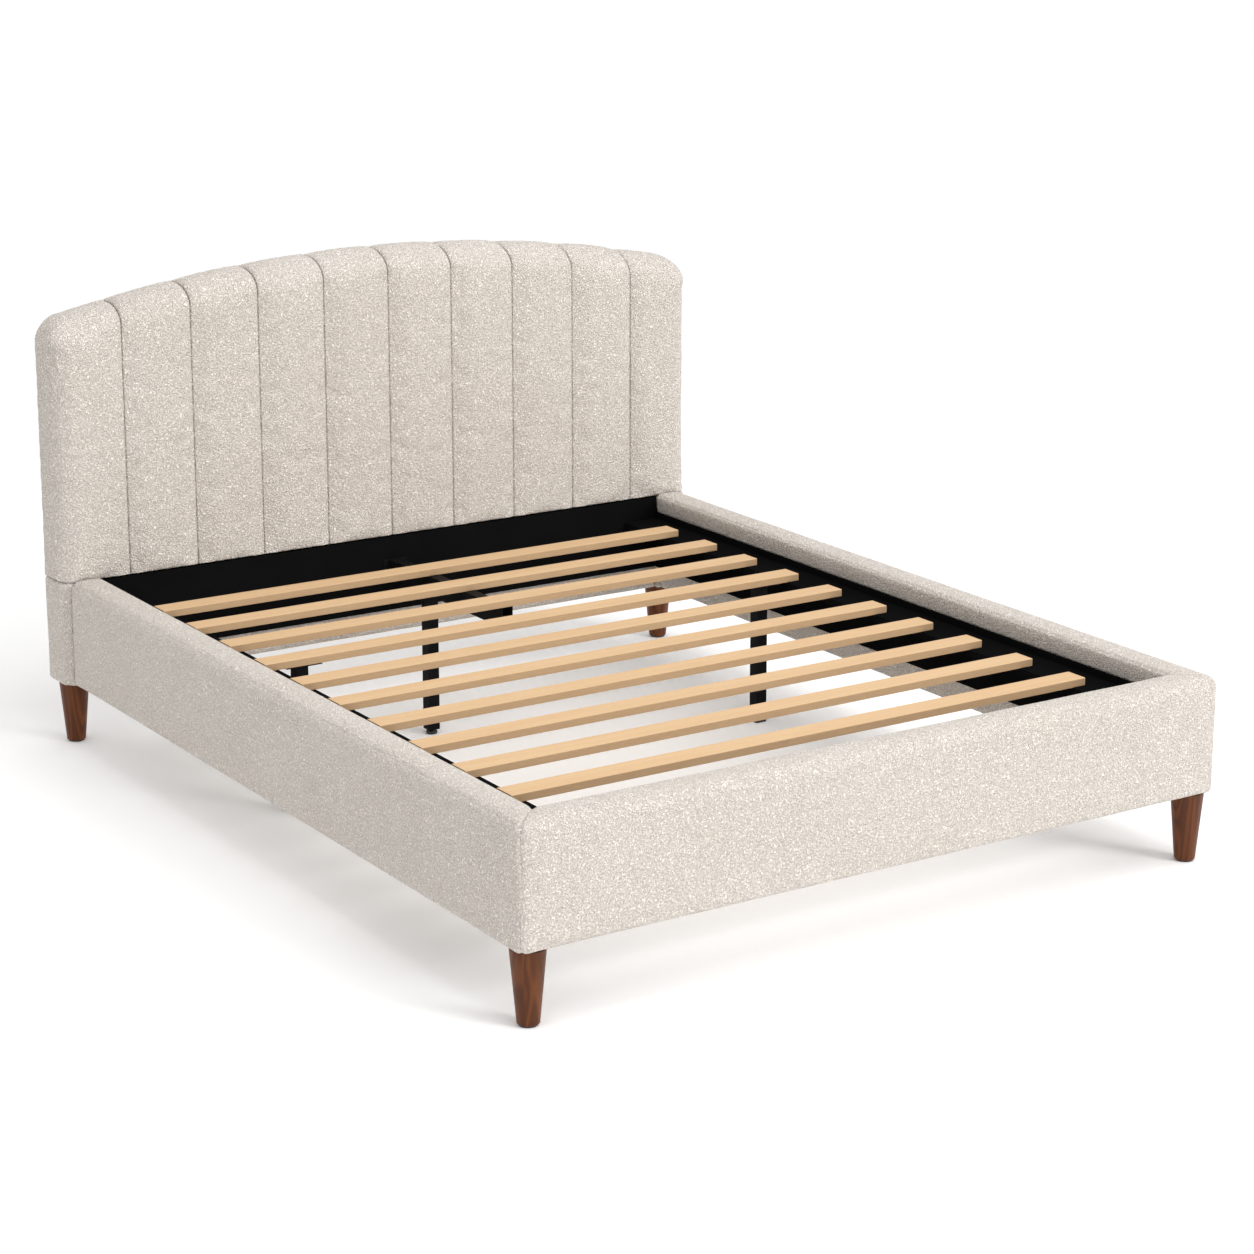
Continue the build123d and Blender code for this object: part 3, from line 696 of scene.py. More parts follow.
@dataclass(frozen=True)
class Hard(Finish):
    """Painted, moulded or plated surface with fine grit and faint cloudy wear."""

    worn: Colour = (0.06, 0.06, 0.06)
    metallic: float = 0.0
    grit: float = 0.0012
    depth: float = 0.0002
    shine: float = 0.5
    worn_share: float = 0.35

    def build(self) -> bpy.types.Material:
        """Mixes in the worn colour by the cloud, and roughens by the grit."""
        material, graph, shader, place = self.start()
        speckle = self.use(graph, Effect.SPECKLE, place, Size=self.grit)
        share = graph.maths("MULTIPLY", speckle.outputs["Cloud"], self.worn_share)
        body = graph.blend(share, (*self.colour, 1.0), (*self.worn, 1.0))
        graph.tree.links.new(body, shader.inputs["Base Color"])
        rough = graph.fit(speckle.outputs["Grit"], 0.3, 0.7, self.roughness - 0.06, self.roughness + 0.08)
        graph.tree.links.new(rough, shader.inputs["Roughness"])
        shader.inputs["Metallic"].default_value = self.metallic
        shader.inputs["Specular IOR Level"].default_value = self.shine
        self.relief(graph, shader, speckle.outputs["Grit"], 0.4, self.depth)
        return material


OATMEAL = LoopedCloth("oatmeal_loop_cloth", (0.94, 0.872, 0.80), 0.95)
BACKING = LoopedCloth("oatmeal_backing_cloth", (0.74, 0.68, 0.61), 0.95, size=0.0022, height=0.0007,
                      sheen=0.05)
FOAM = LoopedCloth("upholstery_foam", (0.86, 0.83, 0.72), 0.95, size=0.0015, height=0.0006, sheen=0.0)
# The slats' edge setting paints shade on their side faces.
SLAT_WOOD = Timber("pale_slat_wood", (0.62, 0.425, 0.24), 0.65, dark=(0.56, 0.35, 0.185), contrast=0.3,
                   edge=0.55)
LEG_WOOD = Timber("walnut_stained_leg", (0.135, 0.040, 0.009), 0.42, dark=(0.058, 0.015, 0.004),
                  turned=(0.0, math.pi / 2, 0.0), ring=0.012, contrast=0.7, coat=0.06, shine=0.2)
FRAME_WOOD = Timber("sawn_frame_timber", (0.66, 0.48, 0.28), 0.7, dark=(0.46, 0.30, 0.15))
PLYWOOD = Timber("raw_plywood", (0.62, 0.45, 0.27), 0.72, dark=(0.44, 0.29, 0.15), ring=0.035)
BLACK_BOARD = Hard("matt_black_board", (0.0050, 0.0050, 0.0052), 0.9, worn=(0.0070, 0.0070, 0.0073),
                   grit=0.0016, shine=0.0)
BLACK_METAL = Hard("black_powder_coat", (0.006, 0.006, 0.0065), 0.5, worn=(0.012, 0.012, 0.0125),
                   grit=0.0009, shine=0.04)
BLACK_PLASTIC = Hard("black_moulded_plastic", (0.016, 0.016, 0.016), 0.55, grit=0.0007)
FOOT_METAL = Hard("blackened_steel", (0.05, 0.05, 0.052), 0.4, worn=(0.12, 0.12, 0.12), metallic=0.8)
ZINC = Hard("zinc_plated_steel", (0.60, 0.60, 0.57), 0.35, worn=(0.45, 0.44, 0.42), metallic=1.0,
            depth=0.0001)

FINISHES: dict[str, Finish] = {
    "boucle": OATMEAL, "foam": FOAM, "slat_wood": SLAT_WOOD, "leg_wood": LEG_WOOD, "black_board": BLACK_BOARD,
    "plywood": PLYWOOD, "frame_timber": FRAME_WOOD, "black_metal": BLACK_METAL, "black_plastic": BLACK_PLASTIC,
    "foot_metal": FOOT_METAL, "zinc_steel": ZINC,
}


def dress(made: bpy.types.Object, finish: Finish) -> None:
    """Gives an object one finish all over.

    Args:
        made: The object.
        finish: Its finish.
    """
    made.data.materials.clear()
    made.data.materials.append(finish.material())


def place_padding(made: bpy.types.Object, wall: float, nodes: list[str],
                  finish: Finish = OATMEAL) -> None:
    """Gives a padded skin its wall and finish, and ties it to the bed.

    Args:
        made: The piece.
        wall: Thickness of its cloth and padding.
        nodes: The solids it stands for.
        finish: Its finish.
    """
    thicken(made, wall)
    dress(made, finish)
    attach(made, ROOT)
    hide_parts(*nodes)
    LOG.info("%s: %d points, stands for %s", made.name, len(made.data.vertices), ", ".join(nodes))


# ------------------------------------------------------------------ the headboard's outline
@dataclass(frozen=True)
class Arch:
    """Front outline of the headboard: upright sides, round shoulders and one long arch."""

    half: float
    apex: float
    radius: float
    shoulder: float = 0.075
    shoulder_points: int = 25

    @property
    def centre(self) -> float:
        """Height of the long arch's centre."""
        return self.apex - self.radius

    @property
    def pivot(self) -> np.ndarray:
        """Centre of the right shoulder's arc."""
        across = self.half - self.shoulder
        return np.array([across, self.centre + math.sqrt((self.radius - self.shoulder) ** 2 - across**2)])

    def height(self, across: np.ndarray) -> np.ndarray:
        """Height of the long arch above a place across the bed: centre + sqrt(radius^2 - across^2)."""
        return self.centre + np.sqrt(self.radius**2 - across**2)

    def corner(self) -> tuple[np.ndarray, np.ndarray]:
        """The right shoulder's two arcs, from the arch to the middle and from the side to the middle.

        Returns:
            Points of each half arc, as (across, up).
        """
        away = self.pivot - np.array([0.0, self.centre])
        steep = math.atan2(away[1], away[0])
        middle = steep / 2
        halves = []
        for start in (steep, 0.0):
            angle = np.linspace(start, middle, self.shoulder_points)
            halves.append(self.pivot + self.shoulder * np.stack([np.cos(angle), np.sin(angle)], axis=1))
        return halves[0], halves[1]

    def inside(self, across: np.ndarray, up: np.ndarray) -> tuple[np.ndarray, np.ndarray, np.ndarray]:
        """Distance in from the outline, and the outline's outward direction at its nearest point.

        Formula: the arch is measured from its centre, a side from its line and a shoulder from its pivot.

        Args:
            across: Places across the bed.
            up: Heights.

        Returns:
            Distance, and the direction's two parts.
        """
        x, sign = np.abs(across), np.where(across < 0, -1.0, 1.0)
        rise = up - self.centre
        reach = np.hypot(x, rise)
        to_arch, to_side = self.radius - reach, self.half - x
        px, pz = self.pivot
        dx, dz = x - px, up - pz
        far = np.maximum(np.hypot(dx, dz), 1e-9)
        under_arch = x * (pz - self.centre) <= px * rise
        by_side = dz <= 0
        corner = ~under_arch & ~by_side
        side_first = by_side & (~under_arch | (to_side < to_arch))
        distance = np.where(corner, self.shoulder - far, np.where(side_first, to_side, to_arch))
        nx = np.where(corner, dx / far, np.where(side_first, 1.0, x / reach))
        nz = np.where(corner, dz / far, np.where(side_first, 0.0, rise / reach))
        return distance, nx * sign, nz


# ------------------------------------------------------------------ the headboard
@dataclass
class Headboard:
    """Ten sewn channels, the plain lower ends and the back cloth."""

    front: float
    back: float
    bottom: float
    arch: Arch
    channels: int = 10
    seam_depth: float = 0.0095
    seam_curve: float = 2.6
    top_roll: tuple[float, float] = (0.058, 0.088)
    side_roll: tuple[float, float] = (0.036, 0.036)
    back_roll: float = 0.010
    back_hem: float = 0.016
    back_fade: float = 0.012
    tuck: float = 0.006
    step: float = 0.004
    wall: float = 0.012
    plain_wall: float = 0.003
    plain_roll: float = 0.009
    welt_in: float = 0.0135
    welt_size: float = 0.0022
    fullness: float = 0.003
    stuffing: Stuffing = Stuffing(pressure=5.0, cap=0.006)

    @classmethod
    def from_frame(cls) -> "Headboard":
        """Reads the headboard's places from the solids' boxes.

        Returns:
            The headboard; the arch's radius follows from two neighbouring channels' heights.
        """
        low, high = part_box("headboard_lower_cover")
        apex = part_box("channel_pad_05")[1].z
        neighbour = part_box("channel_pad_04")[1]
        drop = apex - neighbour.z
        radius = neighbour.x**2 / (2 * drop) + drop / 2
        return cls(low.y, high.y, high.z, Arch(high.x, apex, radius))

    def face(self, across: np.ndarray, up: np.ndarray) -> np.ndarray:
        """Depth of the front surface: flat, then an elliptic roll towards the outline.

        Formula: front + depth * (1 - sqrt(1 - (1 - distance / width)^2)), where the roll's width and depth
        pass from the side's to the top's with the square of the outline's upward direction.

        Args:
            across: Places across the bed.
            up: Heights.

        Returns:
            The surface's Y at each place.
        """
        distance, _, upward = self.arch.inside(across, up)
        width, depth = self.roll(upward)
        part = np.clip(1.0 - distance / width, 0.0, 1.0)
        return self.front + depth * (1.0 - np.sqrt(1.0 - part**2))

    def roll(self, upward: np.ndarray) -> tuple[np.ndarray, np.ndarray]:
        """Width and depth of the edge roll for an outline direction.

        Args:
            upward: Upward part of the outline's direction.

        Returns:
            The roll's width on the face and its depth towards the back.
        """
        share = upward**2
        return tuple(side + (top - side) * share for side, top in zip(self.side_roll, self.top_roll))

    def band(self, edge: np.ndarray) -> np.ndarray:
        """The edge from the front roll to the back, then round the back edge.

        Args:
            edge: Outline points (across, up), one per row.

        Returns:
            A grid of points, one row per step towards the back.
        """
        _, out_x, out_z = self.arch.inside(edge[:, 0], edge[:, 1])
        _, depth = self.roll(out_z)
        start, end = self.front + depth, self.back - self.back_roll
        straight = np.array([0.2, 0.45, 0.72, 1.0])[:, None]
        angle = np.linspace(0.0, math.pi / 2, 5)[1:, None]
        level = np.zeros((1, len(edge)))
        y_flat = start + (end - start) * straight
        y_rows = np.concatenate([y_flat, end + self.back_roll * np.sin(angle) + level, level + self.back])
        turn = self.back_roll * (1.0 - np.cos(angle)) + level
        inset = np.concatenate([np.zeros_like(y_flat), turn, level + (self.back_roll + self.back_hem)])
        return np.stack([edge[:, 0] - out_x * inset, y_rows, edge[:, 1] - out_z * inset], axis=2)

    def channel_skin(self, low: float, high: float) -> tuple[np.ndarray, np.ndarray]:
        """One channel's skin on the right half or the middle, before it is sewn in.

        Formula: a Coons patch between the seam, the foot line, the arch and the side gives the places
        across and up; the face function gives their depth; bands carry the top and side to the back.

        Args:
            low: The channel's edge nearest the middle or the left.
            high: Its other edge.

        Returns:
            Points and faces.
        """
        arch, outer = self.arch, high > self.arch.half - 0.01
        across_points, outer_points, roll_points, tall_points, top_points = 25, 20, 9, 46, 12
        flat = even(low, high, self.step)
        top_line = np.stack([flat, arch.height(flat)], axis=1)
        side_line = np.array([[high, self.bottom], [high, float(arch.height(np.array(high)))]])
        if outer:
            over, under = arch.corner()
            flat = even(low, over[0, 0], self.step)[:-1]
            top_line = np.concatenate([np.stack([flat, arch.height(flat)], axis=1), over])
            side_line = np.concatenate([[[arch.half, self.bottom]], under])
        seam_top = float(arch.height(np.array(low)))
        u = np.linspace(0.0, 1.0, across_points)
        if outer:
            share = self.side_roll[0] / (high - low)
            inner = np.linspace(0.0, 1.0 - share, outer_points)[:-1]
            u = np.concatenate([inner, 1.0 - share + share * eased(roll_points)])
        tall = seam_top - self.bottom
        share = self.top_roll[0] / tall
        foot = np.array([0.0, 0.3, 0.65, 1.0]) * self.tuck / tall
        middle = np.linspace(foot[-1], 1.0 - share, tall_points)[1:-1]
        v = np.concatenate([foot, middle, 1.0 - share + share * eased(top_points)])
        top = along(top_line, u * run_lengths(top_line)[-1])
        side = along(side_line, v * run_lengths(side_line)[-1])
        seam = np.stack([np.full(len(v), low), self.bottom + v * tall], axis=1)
        base = np.stack([low + u * (high - low), np.full(len(u), self.bottom)], axis=1)
        uu, vv = u[None, :, None], v[:, None, None]
        patch = (1 - uu) * seam[:, None] + uu * side[:, None] + (1 - vv) * base[None] + vv * top[None]
        patch = patch - ((1 - uu) * (1 - vv) * base[0] + uu * (1 - vv) * base[-1] + (1 - uu) * vv * top[0]
                         + uu * vv * top[-1])
        across, up = patch[..., 0], patch[..., 1]
        work = Patchwork()
        skin = np.stack([across, self.face(across, up), up], axis=2)
        work.add(np.concatenate([skin, self.band(top)]))
        if outer:
            work.add(np.concatenate([skin[None, :, -1], self.band(side)]), flip=True)
        return work.joined()[:2]

    def channel(self, number: int) -> None:
        """Builds one channel: skin, sewn seams, filling, wall.

        Formula of the seam: depth * (1 - (1 - (1 - t)^p)^(1/p)) inwards along the normal, where t is the
        distance from the nearest seam over half the channel's width and p is the seam's curve.

        Args:
            number: The channel's number from the left, from 1.
        """
        node = f"channel_pad_{number:02d}"
        low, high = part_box(node)
        mirrored = number <= self.channels // 2
        edges = (-high.x, -low.x) if mirrored else (low.x, high.x)
        points, quads = self.channel_skin(*edges)
        half = (edges[1] - edges[0]) / 2
        to_seam = points[:, 0] - edges[0]
        if number not in (1, self.channels):
            to_seam = np.minimum(to_seam, edges[1] - points[:, 0])
        up = points[:, 2] - self.bottom
        part = np.clip(to_seam / half, 0.0, 1.0)
        dip = self.seam_depth * (1.0 - (1.0 - (1.0 - part) ** self.seam_curve) ** (1.0 / self.seam_curve))
        rise = np.clip(up / self.tuck, 0.0, 1.0)
        dip = np.maximum(dip, self.tuck * (1.0 - np.sqrt(1.0 - (1.0 - rise) ** 2)))
        behind = np.clip((points[:, 1] - self.back + self.back_fade) / self.back_fade, 0.0, 1.0)
        inward = normals_of(points, quads)
        inward[:, 2] *= np.clip(up / 0.05, 0.0, 1.0)
        points = points - inward * (dip * (1.0 - behind))[:, None]
        held = (to_seam < 0.001) | (points[:, 2] < self.bottom + 0.001) | (points[:, 1] > self.back - 0.004)
        points = self.stuffing.fill(points, quads, held)
        loose = 1.0 - np.clip(1.0 - part * 4.0, 0.0, 1.0)
        loose = loose * np.clip((points[:, 2] - self.bottom) / 0.03, 0.0, 1.0)
        points = points + normals_of(points, quads) * (ripple(points + number, RIPPLE) * loose)[:, None]
        if mirrored:
            points, quads = points * MIRROR, quads[:, ::-1]
        place_padding(new_object(f"channel_{number:02d}", points, quads), self.wall, [node])

    def sleeve(self, side: Side) -> tuple[np.ndarray, np.ndarray]:
        """The plain cloth round one lower end: a rounded ring carried up, tucked in above and below.

        Args:
            side: Which end.

        Returns:
            Points and faces.
        """
        tight, back_round, around, rows = 0.002, 0.012, 73, 12
        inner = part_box("side_rail_cover_right")[0].x + tight
        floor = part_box("headboard_lower_cover")[0].z
        half, front, back = self.arch.half, self.front + 0.0004, self.back
        ring = rounded_line([(inner, front, tight), (half, front, self.side_roll[0]), (half, back, back_round),
                             (inner, back, tight)], closed=True)
        ring = along(ring, np.linspace(0.0, run_lengths(ring)[-1], around)[:-1])
        centre = ring.mean(axis=0)
        roll, tall = self.plain_roll, self.bottom - floor
        turn = np.linspace(0.0, math.pi / 2, 6)
        under, over = roll * (1 - np.sin(turn)), roll * (1 - np.cos(turn))
        inset = np.concatenate([[0.06, 0.035, 0.02], under, np.zeros(rows - 2), over])
        up = np.concatenate([[0.0, 0.0, 0.0], over, np.linspace(roll, tall - roll, rows)[1:-1],
                             tall - roll + roll * np.sin(turn)])
        away = ring - centre
        shrink = np.clip(1.0 - inset[:, None] / np.linalg.norm(away, axis=1), 0.05, 1.0)
        plan = centre + away * shrink[..., None]
        height = np.broadcast_to((floor + up)[:, None, None], (*plan.shape[:2], 1))
        grid = np.concatenate([plan, height], axis=2)
        points, quads = surface(np.concatenate([grid, grid[:, :1]], axis=1))
        welt = np.exp(-((points[:, 0] - (half - self.welt_in)) / self.welt_size) ** 2)
        welt = welt * (points[:, 1] < self.front + 0.02)
        points = points - normals_of(points, quads) * (self.welt_size * welt)[:, None]
        points = points + normals_of(points, quads) * ripple(points, RIPPLE)[:, None]
        return (points * MIRROR, quads[:, ::-1]) if side is Side.LEFT else (points, quads)

    def low_band(self) -> tuple[np.ndarray, np.ndarray]:
        """The cloth band between the rails: an L-shaped section carried across the bed.

        Returns:
            Points and faces.
        """
        set_back, rows, columns = 0.012, 26, 90
        low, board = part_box("headboard_lower_cover")[0].z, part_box("head_cross_board")[0]
        face = self.front + set_back
        section = rounded_line([(face, board.z, 0.0), (face, low, self.plain_roll),
                                (self.back - 0.004, low, 0.0)])
        section = along(section, np.linspace(0.0, run_lengths(section)[-1], rows))
        across = np.linspace(board.x + 0.001, -board.x - 0.001, columns)
        grid = np.empty((rows, columns, 3))
        grid[..., 0] = across[None, :]
        grid[..., 1:] = section[:, None, :]
        points, quads = surface(grid, flip=True)
        return points + normals_of(points, quads) * ripple(points, RIPPLE)[:, None], quads

    def lower_cloth(self) -> None:
        """Builds the two sleeves and the band between them as one piece."""
        parts = [self.sleeve(Side.LEFT), self.sleeve(Side.RIGHT), self.low_band()]
        starts = np.cumsum([0] + [len(points) for points, _ in parts[:-1]])
        points = np.concatenate([points for points, _ in parts])
        quads = np.concatenate([quads + start for start, (_, quads) in zip(starts, parts)])
        made = new_object("headboard_lower_cloth", points, quads)
        place_padding(made, self.plain_wall, ["headboard_lower_cover", "headboard_lower_foam"])

    def back_cloth(self) -> None:
        """Builds the back cloth: columns from the foot to the outline, slightly full between its edges.

        Formula: fullness = height * (1 - s^4) * (1 - t^4), where s and t run from -1 to 1 across and up.
        """
        columns, rows, wall, sunk = 81, 60, 0.0028, 0.0005
        low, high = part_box("headboard_back_cover")
        arch, inset = self.arch, self.arch.half - high.x
        s = np.sin(np.linspace(-1.0, 1.0, columns) * math.pi / 2)
        across, round_in = s * high.x, arch.shoulder - inset
        px, pz = arch.pivot
        past = np.maximum(np.abs(across) - px, 0)
        corner = pz + np.sqrt(np.maximum(round_in**2 - past**2, 0))
        over = arch.centre + np.sqrt((arch.radius - inset) ** 2 - across**2)
        away = arch.pivot - np.array([0.0, arch.centre])
        tangent = px + round_in * away[0] / np.linalg.norm(away)
        top = np.where(np.abs(across) > tangent, corner, over)
        t = np.linspace(0.0, 1.0, rows)
        up = low.z + t[:, None] * (top - low.z)[None, :]
        bulge = self.fullness * (1 - s[None, :] ** 4) * (1 - (2 * t[:, None] - 1) ** 4)
        grid = np.stack([np.broadcast_to(across, up.shape), high.y - sunk + bulge, up], axis=2)
        made = new_object("headboard_back_cloth", *surface(grid, flip=True))
        place_padding(made, wall, ["headboard_back_cover"], BACKING)

    def build(self) -> None:
        """Builds every piece of the headboard."""
        for number in range(1, self.channels + 1):
            self.channel(number)
        self.lower_cloth()
        self.back_cloth()


# ------------------------------------------------------------------ the rails
@dataclass
class Rails:
    """Padded covers of the two side rails and the foot rail, mitred at the foot corners."""

    inner: float
    outer: float
    head: float
    foot: float
    bottom: float
    top: float
    hem: float
    band: float
    band_in: float
    crown: float = 0.005
    lean: float = 0.007
    inner_round: float = 0.014
    outer_round: float = 0.024
    bottom_round: float = 0.009
    corner_round: float = 0.020
    seam_depth: float = 0.0018
    seam_width: float = 0.0026
    mitre_depth: float = 0.0035
    mitre_width: float = 0.006
    corner_points: int = 6
    step: float = 0.0095
    wall: float = 0.003
    waviness: float = 0.0004
    stuffing: Stuffing = Stuffing(pressure=1.2, cap=0.0022, growth=0.0, bending=3.0)

    @classmethod
    def from_frame(cls) -> "Rails":
        """Reads the rails' places from the solids' boxes."""
        low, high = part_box("side_rail_cover_right")
        lining_low, lining_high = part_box("side_lining_right")
        _, foot_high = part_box("foot_rail_cover")
        return cls(low.x, high.x, high.y, foot_high.y, low.z, high.z, lining_high.z, lining_low.z,
                   lining_high.x - low.x - 0.003)

    def section(self) -> tuple[np.ndarray, np.ndarray]:
        """The cover's section from the inner hem over the top, down, under and up inside.

        Returns:
            Points (distance out, height), and each point's distance along the section.
        """
        thick, full = self.outer - self.inner, self.top + self.crown
        line = rounded_line([
            (0.0, self.hem, 0.0), (-self.lean, full, self.inner_round), (thick, full, self.outer_round),
            (thick, self.bottom, self.bottom_round), (self.band_in, self.bottom, 0.002),
            (self.band_in, self.band, 0.0),
        ])
        seams = self.seams()
        beside = np.array([-0.009, -0.005, -0.0025, 0.0, 0.0025, 0.005, 0.009])
        fine = np.concatenate([seam + beside for seam in seams])
        coarse = even(0.0, run_lengths(line)[-1], self.step)
        clear = np.abs(coarse[:, None] - seams[None, :]).min(axis=1) > 0.011
        places = np.sort(np.concatenate([coarse[clear], fine]))
        return along(line, places), places

    def seams(self) -> np.ndarray:
        """Where the two topstitched seams lie along the section: halfway round each top edge."""
        side = self.top + self.crown - self.hem - self.inner_round
        first = side + self.inner_round * math.pi / 4
        flat = self.outer - self.inner + self.lean - self.inner_round - self.outer_round
        second = side + self.inner_round * math.pi / 2 + flat + self.outer_round * math.pi / 4
        return np.array([first, second])

    def corner_arc(self, out: np.ndarray) -> tuple[np.ndarray, np.ndarray, np.ndarray]:
        """The outer corner's quarter of a turn up to the mitre.

        Formula: the corner's radius grows with the square of the distance out, and the arc turns
        45 degrees from the side's direction to the mitre plane.

        Args:
            out: Distances out of the section's points.

        Returns:
            The radius per section point, and the arc's offsets beside and ahead.
        """
        radius = 0.003 + self.corner_round * (out / (self.outer - self.inner)) ** 2
        angle = np.linspace(0.0, math.pi / 4, self.corner_points)[None, :]
        return radius, radius[:, None] * (np.cos(angle) - 1.0), radius[:, None] * np.sin(angle)

    def side_grid(self) -> tuple[np.ndarray, np.ndarray]:
        """The right rail's cover as a grid, and each point's section place and distance to the mitre.

        Returns:
            Points and marks.
        """
        line, places = self.section()
        out, up = line[:, 0], line[:, 1]
        radius, beside, ahead = self.corner_arc(out)
        end = self.foot - out + radius
        share = np.concatenate([np.linspace(0.0, 0.965, 112), [0.974, 0.982, 0.989, 0.995]])
        straight = self.head + (end - self.head)[:, None] * np.concatenate([share, [1.0]])[None, :]
        y = np.concatenate([straight, end[:, None] - ahead[:, 1:]], axis=1)
        x = self.inner + out[:, None] + np.concatenate([np.zeros_like(straight), beside[:, 1:]], axis=1)
        grid = np.stack([x, y, np.broadcast_to(up[:, None], y.shape)], axis=2)
        to_mitre = np.abs((x - self.inner) + (y - self.foot))
        return grid, np.stack([np.broadcast_to(places[:, None], y.shape), to_mitre], axis=2)

    def foot_grid(self) -> tuple[np.ndarray, np.ndarray]:
        """The foot rail's cover as a grid between its two mitres.

        Returns:
            Points and marks.
        """
        line, places = self.section()
        out, up = line[:, 0], line[:, 1]
        radius, beside, ahead = self.corner_arc(out)
        end = self.inner + out - radius
        near = np.array([0.99, 0.978, 0.964])
        share = np.concatenate([-near, np.linspace(-0.945, 0.945, 96), near[::-1]])
        straight = end[:, None] * np.concatenate([[-1.0], share, [1.0]])[None, :]
        x = np.concatenate([-(end[:, None] + ahead[:, :0:-1]), straight, end[:, None] + ahead[:, 1:]], axis=1)
        back = np.concatenate([beside[:, :0:-1], np.zeros_like(straight), beside[:, 1:]], axis=1)
        y = self.foot - out[:, None] - back
        grid = np.stack([x, y, np.broadcast_to(up[:, None], y.shape)], axis=2)
        to_mitre = np.abs((np.abs(x) - self.inner) + (y - self.foot))
        return grid, np.stack([np.broadcast_to(places[:, None], y.shape), to_mitre], axis=2)

    def sew(self, grid: np.ndarray, marks: np.ndarray, flip: bool) -> tuple[np.ndarray, np.ndarray]:
        """Fills a cover, then draws in its topstitched seams and its mitre seam.

        Formula: each seam draws in by depth * exp(-(distance / width)^2) along the normal.

        Args:
            grid: The cover's points.
            marks: Section place and distance to the mitre of each point.
            flip: Whether the faces turn the other way.

        Returns:
            Points and faces.
        """
        work = Patchwork()
        work.add(grid, marks, flip)
        points, quads, notes = work.joined()
        place, to_mitre = notes[:, 0], notes[:, 1]
        near_seam = np.abs(place[:, None] - self.seams()[None, :]).min(axis=1)
        held = (place < 0.004) | (place > place.max() - 0.075) | (to_mitre < 0.002)
        held |= (points[:, 1] > self.head - 0.002) | (near_seam < 0.001)
        points = self.stuffing.fill(points, quads, held)
        dip = self.seam_depth * np.exp(-((near_seam / self.seam_width) ** 2))
        dip = dip + self.mitre_depth * np.exp(-((to_mitre / self.mitre_width) ** 2))
        return points + normals_of(points, quads) * (ripple(points, self.waviness) - dip)[:, None], quads

    def build(self) -> None:
        """Builds the three covers; the left one mirrors the right one."""
        points, quads = self.sew(*self.side_grid(), flip=False)
        for side in Side:
            turned = points * np.array([side.value, 1.0, 1.0])
            faces = quads if side is Side.RIGHT else quads[:, ::-1]
            name = side.name.lower()
            made = new_object(f"side_rail_cloth_{name}", turned, faces)
            place_padding(made, self.wall, [f"side_rail_cover_{name}"])
        made = new_object("foot_rail_cloth", *self.sew(*self.foot_grid(), flip=True))
        place_padding(made, self.wall, ["foot_rail_cover", "rail_foam"])


# ------------------------------------------------------------------ carried-over solids
@dataclass(frozen=True)
class HardParts:
    """The solids whose shape is already right: each gets the finish of its material slot."""

    slots: dict[str, str]

    @classmethod
    def from_frame(cls) -> "HardParts":
        """Reads each solid's material slot from the record."""
        return cls({part["node"]: part["material_slot"] for part in frame["record"]["subparts"]})

    def build(self) -> None:
        """Dresses every solid by its slot."""
        for name, made in frame["nodes"].items():
            dress(made, FINISHES[self.slots[name]])
            LOG.info("%s: finished as %s", name, self.slots[name])


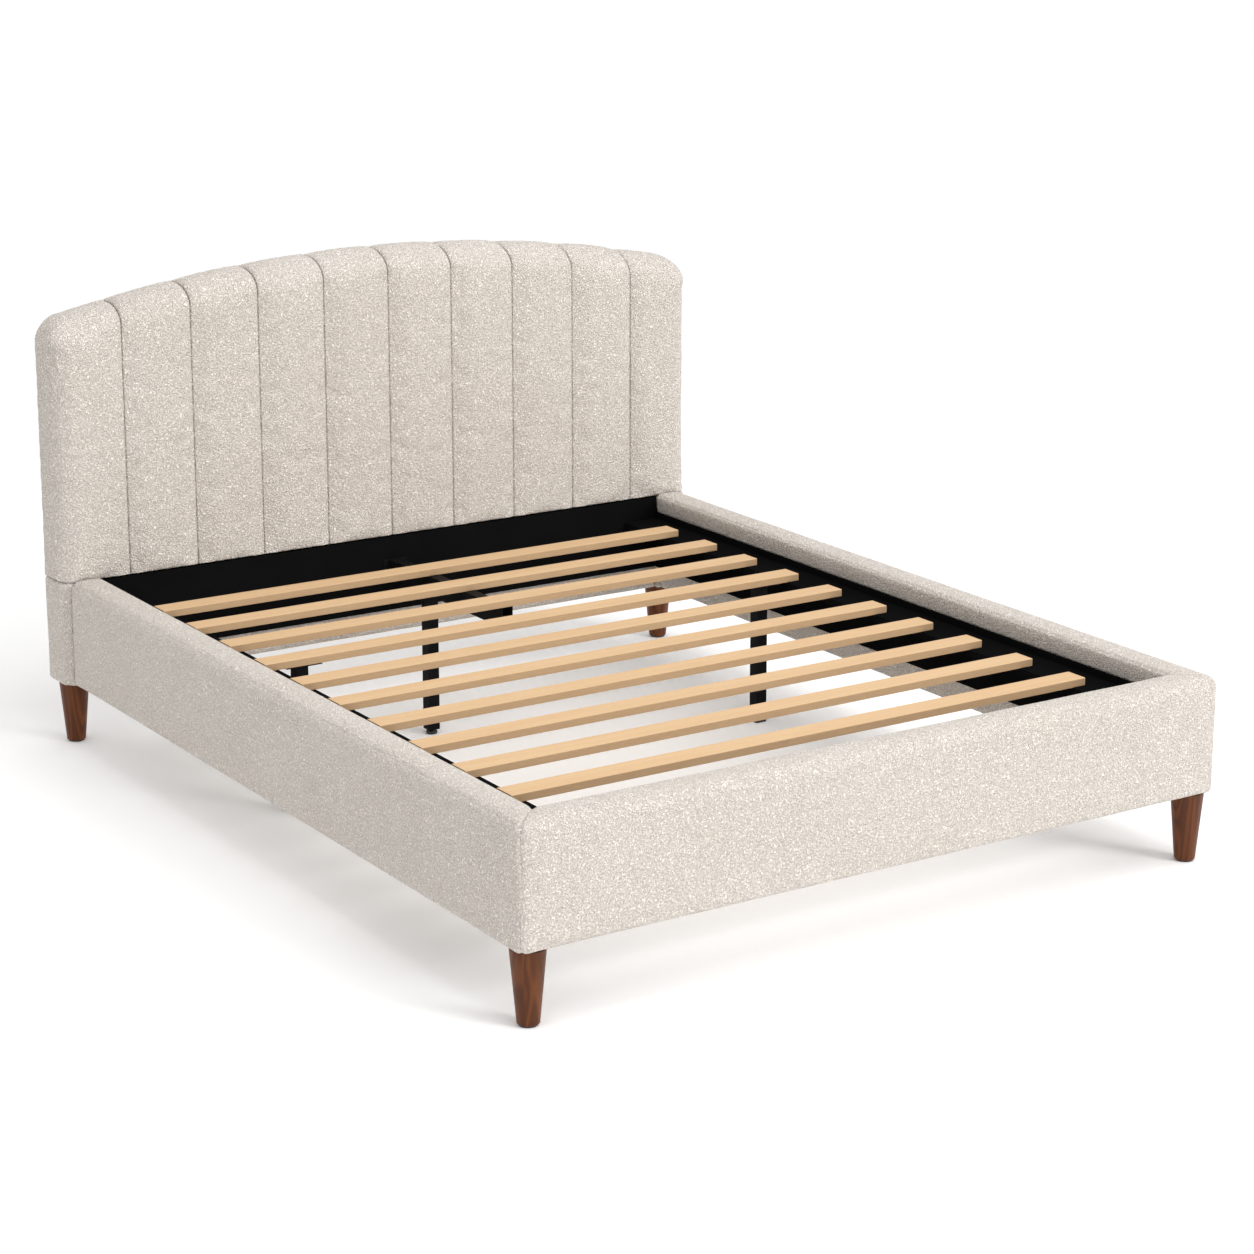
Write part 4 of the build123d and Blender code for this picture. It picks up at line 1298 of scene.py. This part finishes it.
# ------------------------------------------------------------------ studio
@dataclass(frozen=True)
class Studio:
    """Pale floor, soft light and the camera."""

    place: tuple[float, float, float] = (-3.6943, -5.8092, 2.3486)
    down: float = 13.398
    turned: float = 32.948
    focal: float = 3098.6
    frame_width: float = 1254.0
    axis_row: float = 500.0
    fade: tuple[float, float] = (2.4, 4.6)
    surround: float = 0.88
    floor_reach: float = 40.0
    floor_gap: float = 0.0005

    def camera(self) -> None:
        """Places the camera; its focal length and shift are fractions of the square picture's width."""
        data = bpy.data.cameras.new("studio_camera")
        data.sensor_width = 36.0
        data.lens = self.focal / self.frame_width * data.sensor_width
        data.shift_y = -(self.frame_width / 2 - self.axis_row) / self.frame_width
        data.clip_end = 100.0
        camera = bpy.data.objects.new("studio_camera", data)
        camera.location = self.place
        camera.rotation_euler = (math.radians(90.0 - self.down), 0.0, -math.radians(self.turned))
        bpy.context.scene.collection.objects.link(camera)
        bpy.context.scene.camera = camera

    def floor(self) -> None:
        """Lays a wide pale floor that fades into the surround with distance from the bed."""
        corners = np.array([[-1, -1], [1, -1], [1, 1], [-1, 1]]) * self.floor_reach
        points = np.column_stack([corners, np.full(4, -self.floor_gap)])
        made = new_object("studio_floor", points, np.array([[0, 1, 2, 3]]))
        material = bpy.data.materials.new("studio_floor")
        material.use_nodes = True
        shader = material.node_tree.nodes["Principled BSDF"]
        shader.inputs["Base Color"].default_value = (1.0, 1.0, 1.0, 1.0)
        shader.inputs["Roughness"].default_value = 0.9
        shader.inputs["Specular IOR Level"].default_value = 0.0
        graph = Graph(material.node_tree)
        spot = graph.add("ShaderNodeTexCoord").outputs["Object"]
        away = graph.add("ShaderNodeVectorMath", {"operation": "LENGTH"}, _0=spot).outputs["Value"]
        graph.tree.links.new(graph.fit(away, *self.fade, 1.0, 0.0), shader.inputs["Alpha"])
        made.data.materials.append(material)

    def lamp(self, name: str, place: tuple[float, float, float], size: float, power: float) -> None:
        """Hangs one large soft lamp that looks at the bed's middle.

        Args:
            name: The lamp's name.
            place: Where it hangs.
            size: Width of its square face.
            power: Its power in watts.
        """
        data = bpy.data.lights.new(name, "AREA")
        data.size = size
        data.energy = power
        lamp = bpy.data.objects.new(name, data)
        lamp.location = place
        aim = np.array([0.0, 0.0, 0.4]) - np.array(place)
        flat = math.hypot(aim[0], aim[1])
        lamp.rotation_euler = (math.atan2(flat, -aim[2]), 0.0, math.atan2(aim[1], aim[0]) - math.pi / 2)
        bpy.context.scene.collection.objects.link(lamp)

    def light(self) -> None:
        """Sets an even pale surround and the soft lamps."""
        world = bpy.data.worlds.new("studio_surround")
        world.use_nodes = True
        graph = Graph(world.node_tree)
        seen = graph.add("ShaderNodeLightPath").outputs["Is Camera Ray"]
        strength = graph.maths("ADD", self.surround, graph.maths("MULTIPLY", seen, 1.0 - self.surround))
        backdrop = world.node_tree.nodes["Background"]
        backdrop.inputs["Color"].default_value = (1.0, 1.0, 1.0, 1.0)
        graph.tree.links.new(strength, backdrop.inputs["Strength"])
        bpy.context.scene.world = world
        self.lamp("key", (8.0, -15.0, 8.0), 5.0, 1400.0)
        self.lamp("top", (0.3, -1.8, 5.0), 4.0, 120.0)

    def build(self) -> None:
        """Sets the whole studio."""
        bpy.context.scene.view_settings.view_transform = "Standard"
        self.camera()
        self.floor()
        self.light()


def main() -> None:
    """Builds the bed and its studio."""
    logging.basicConfig(level=logging.INFO, format="%(name)s: %(message)s")
    Studio().build()
    HardParts.from_frame().build()
    Rails.from_frame().build()
    Headboard.from_frame().build()


if __name__ == "__main__":
    main()
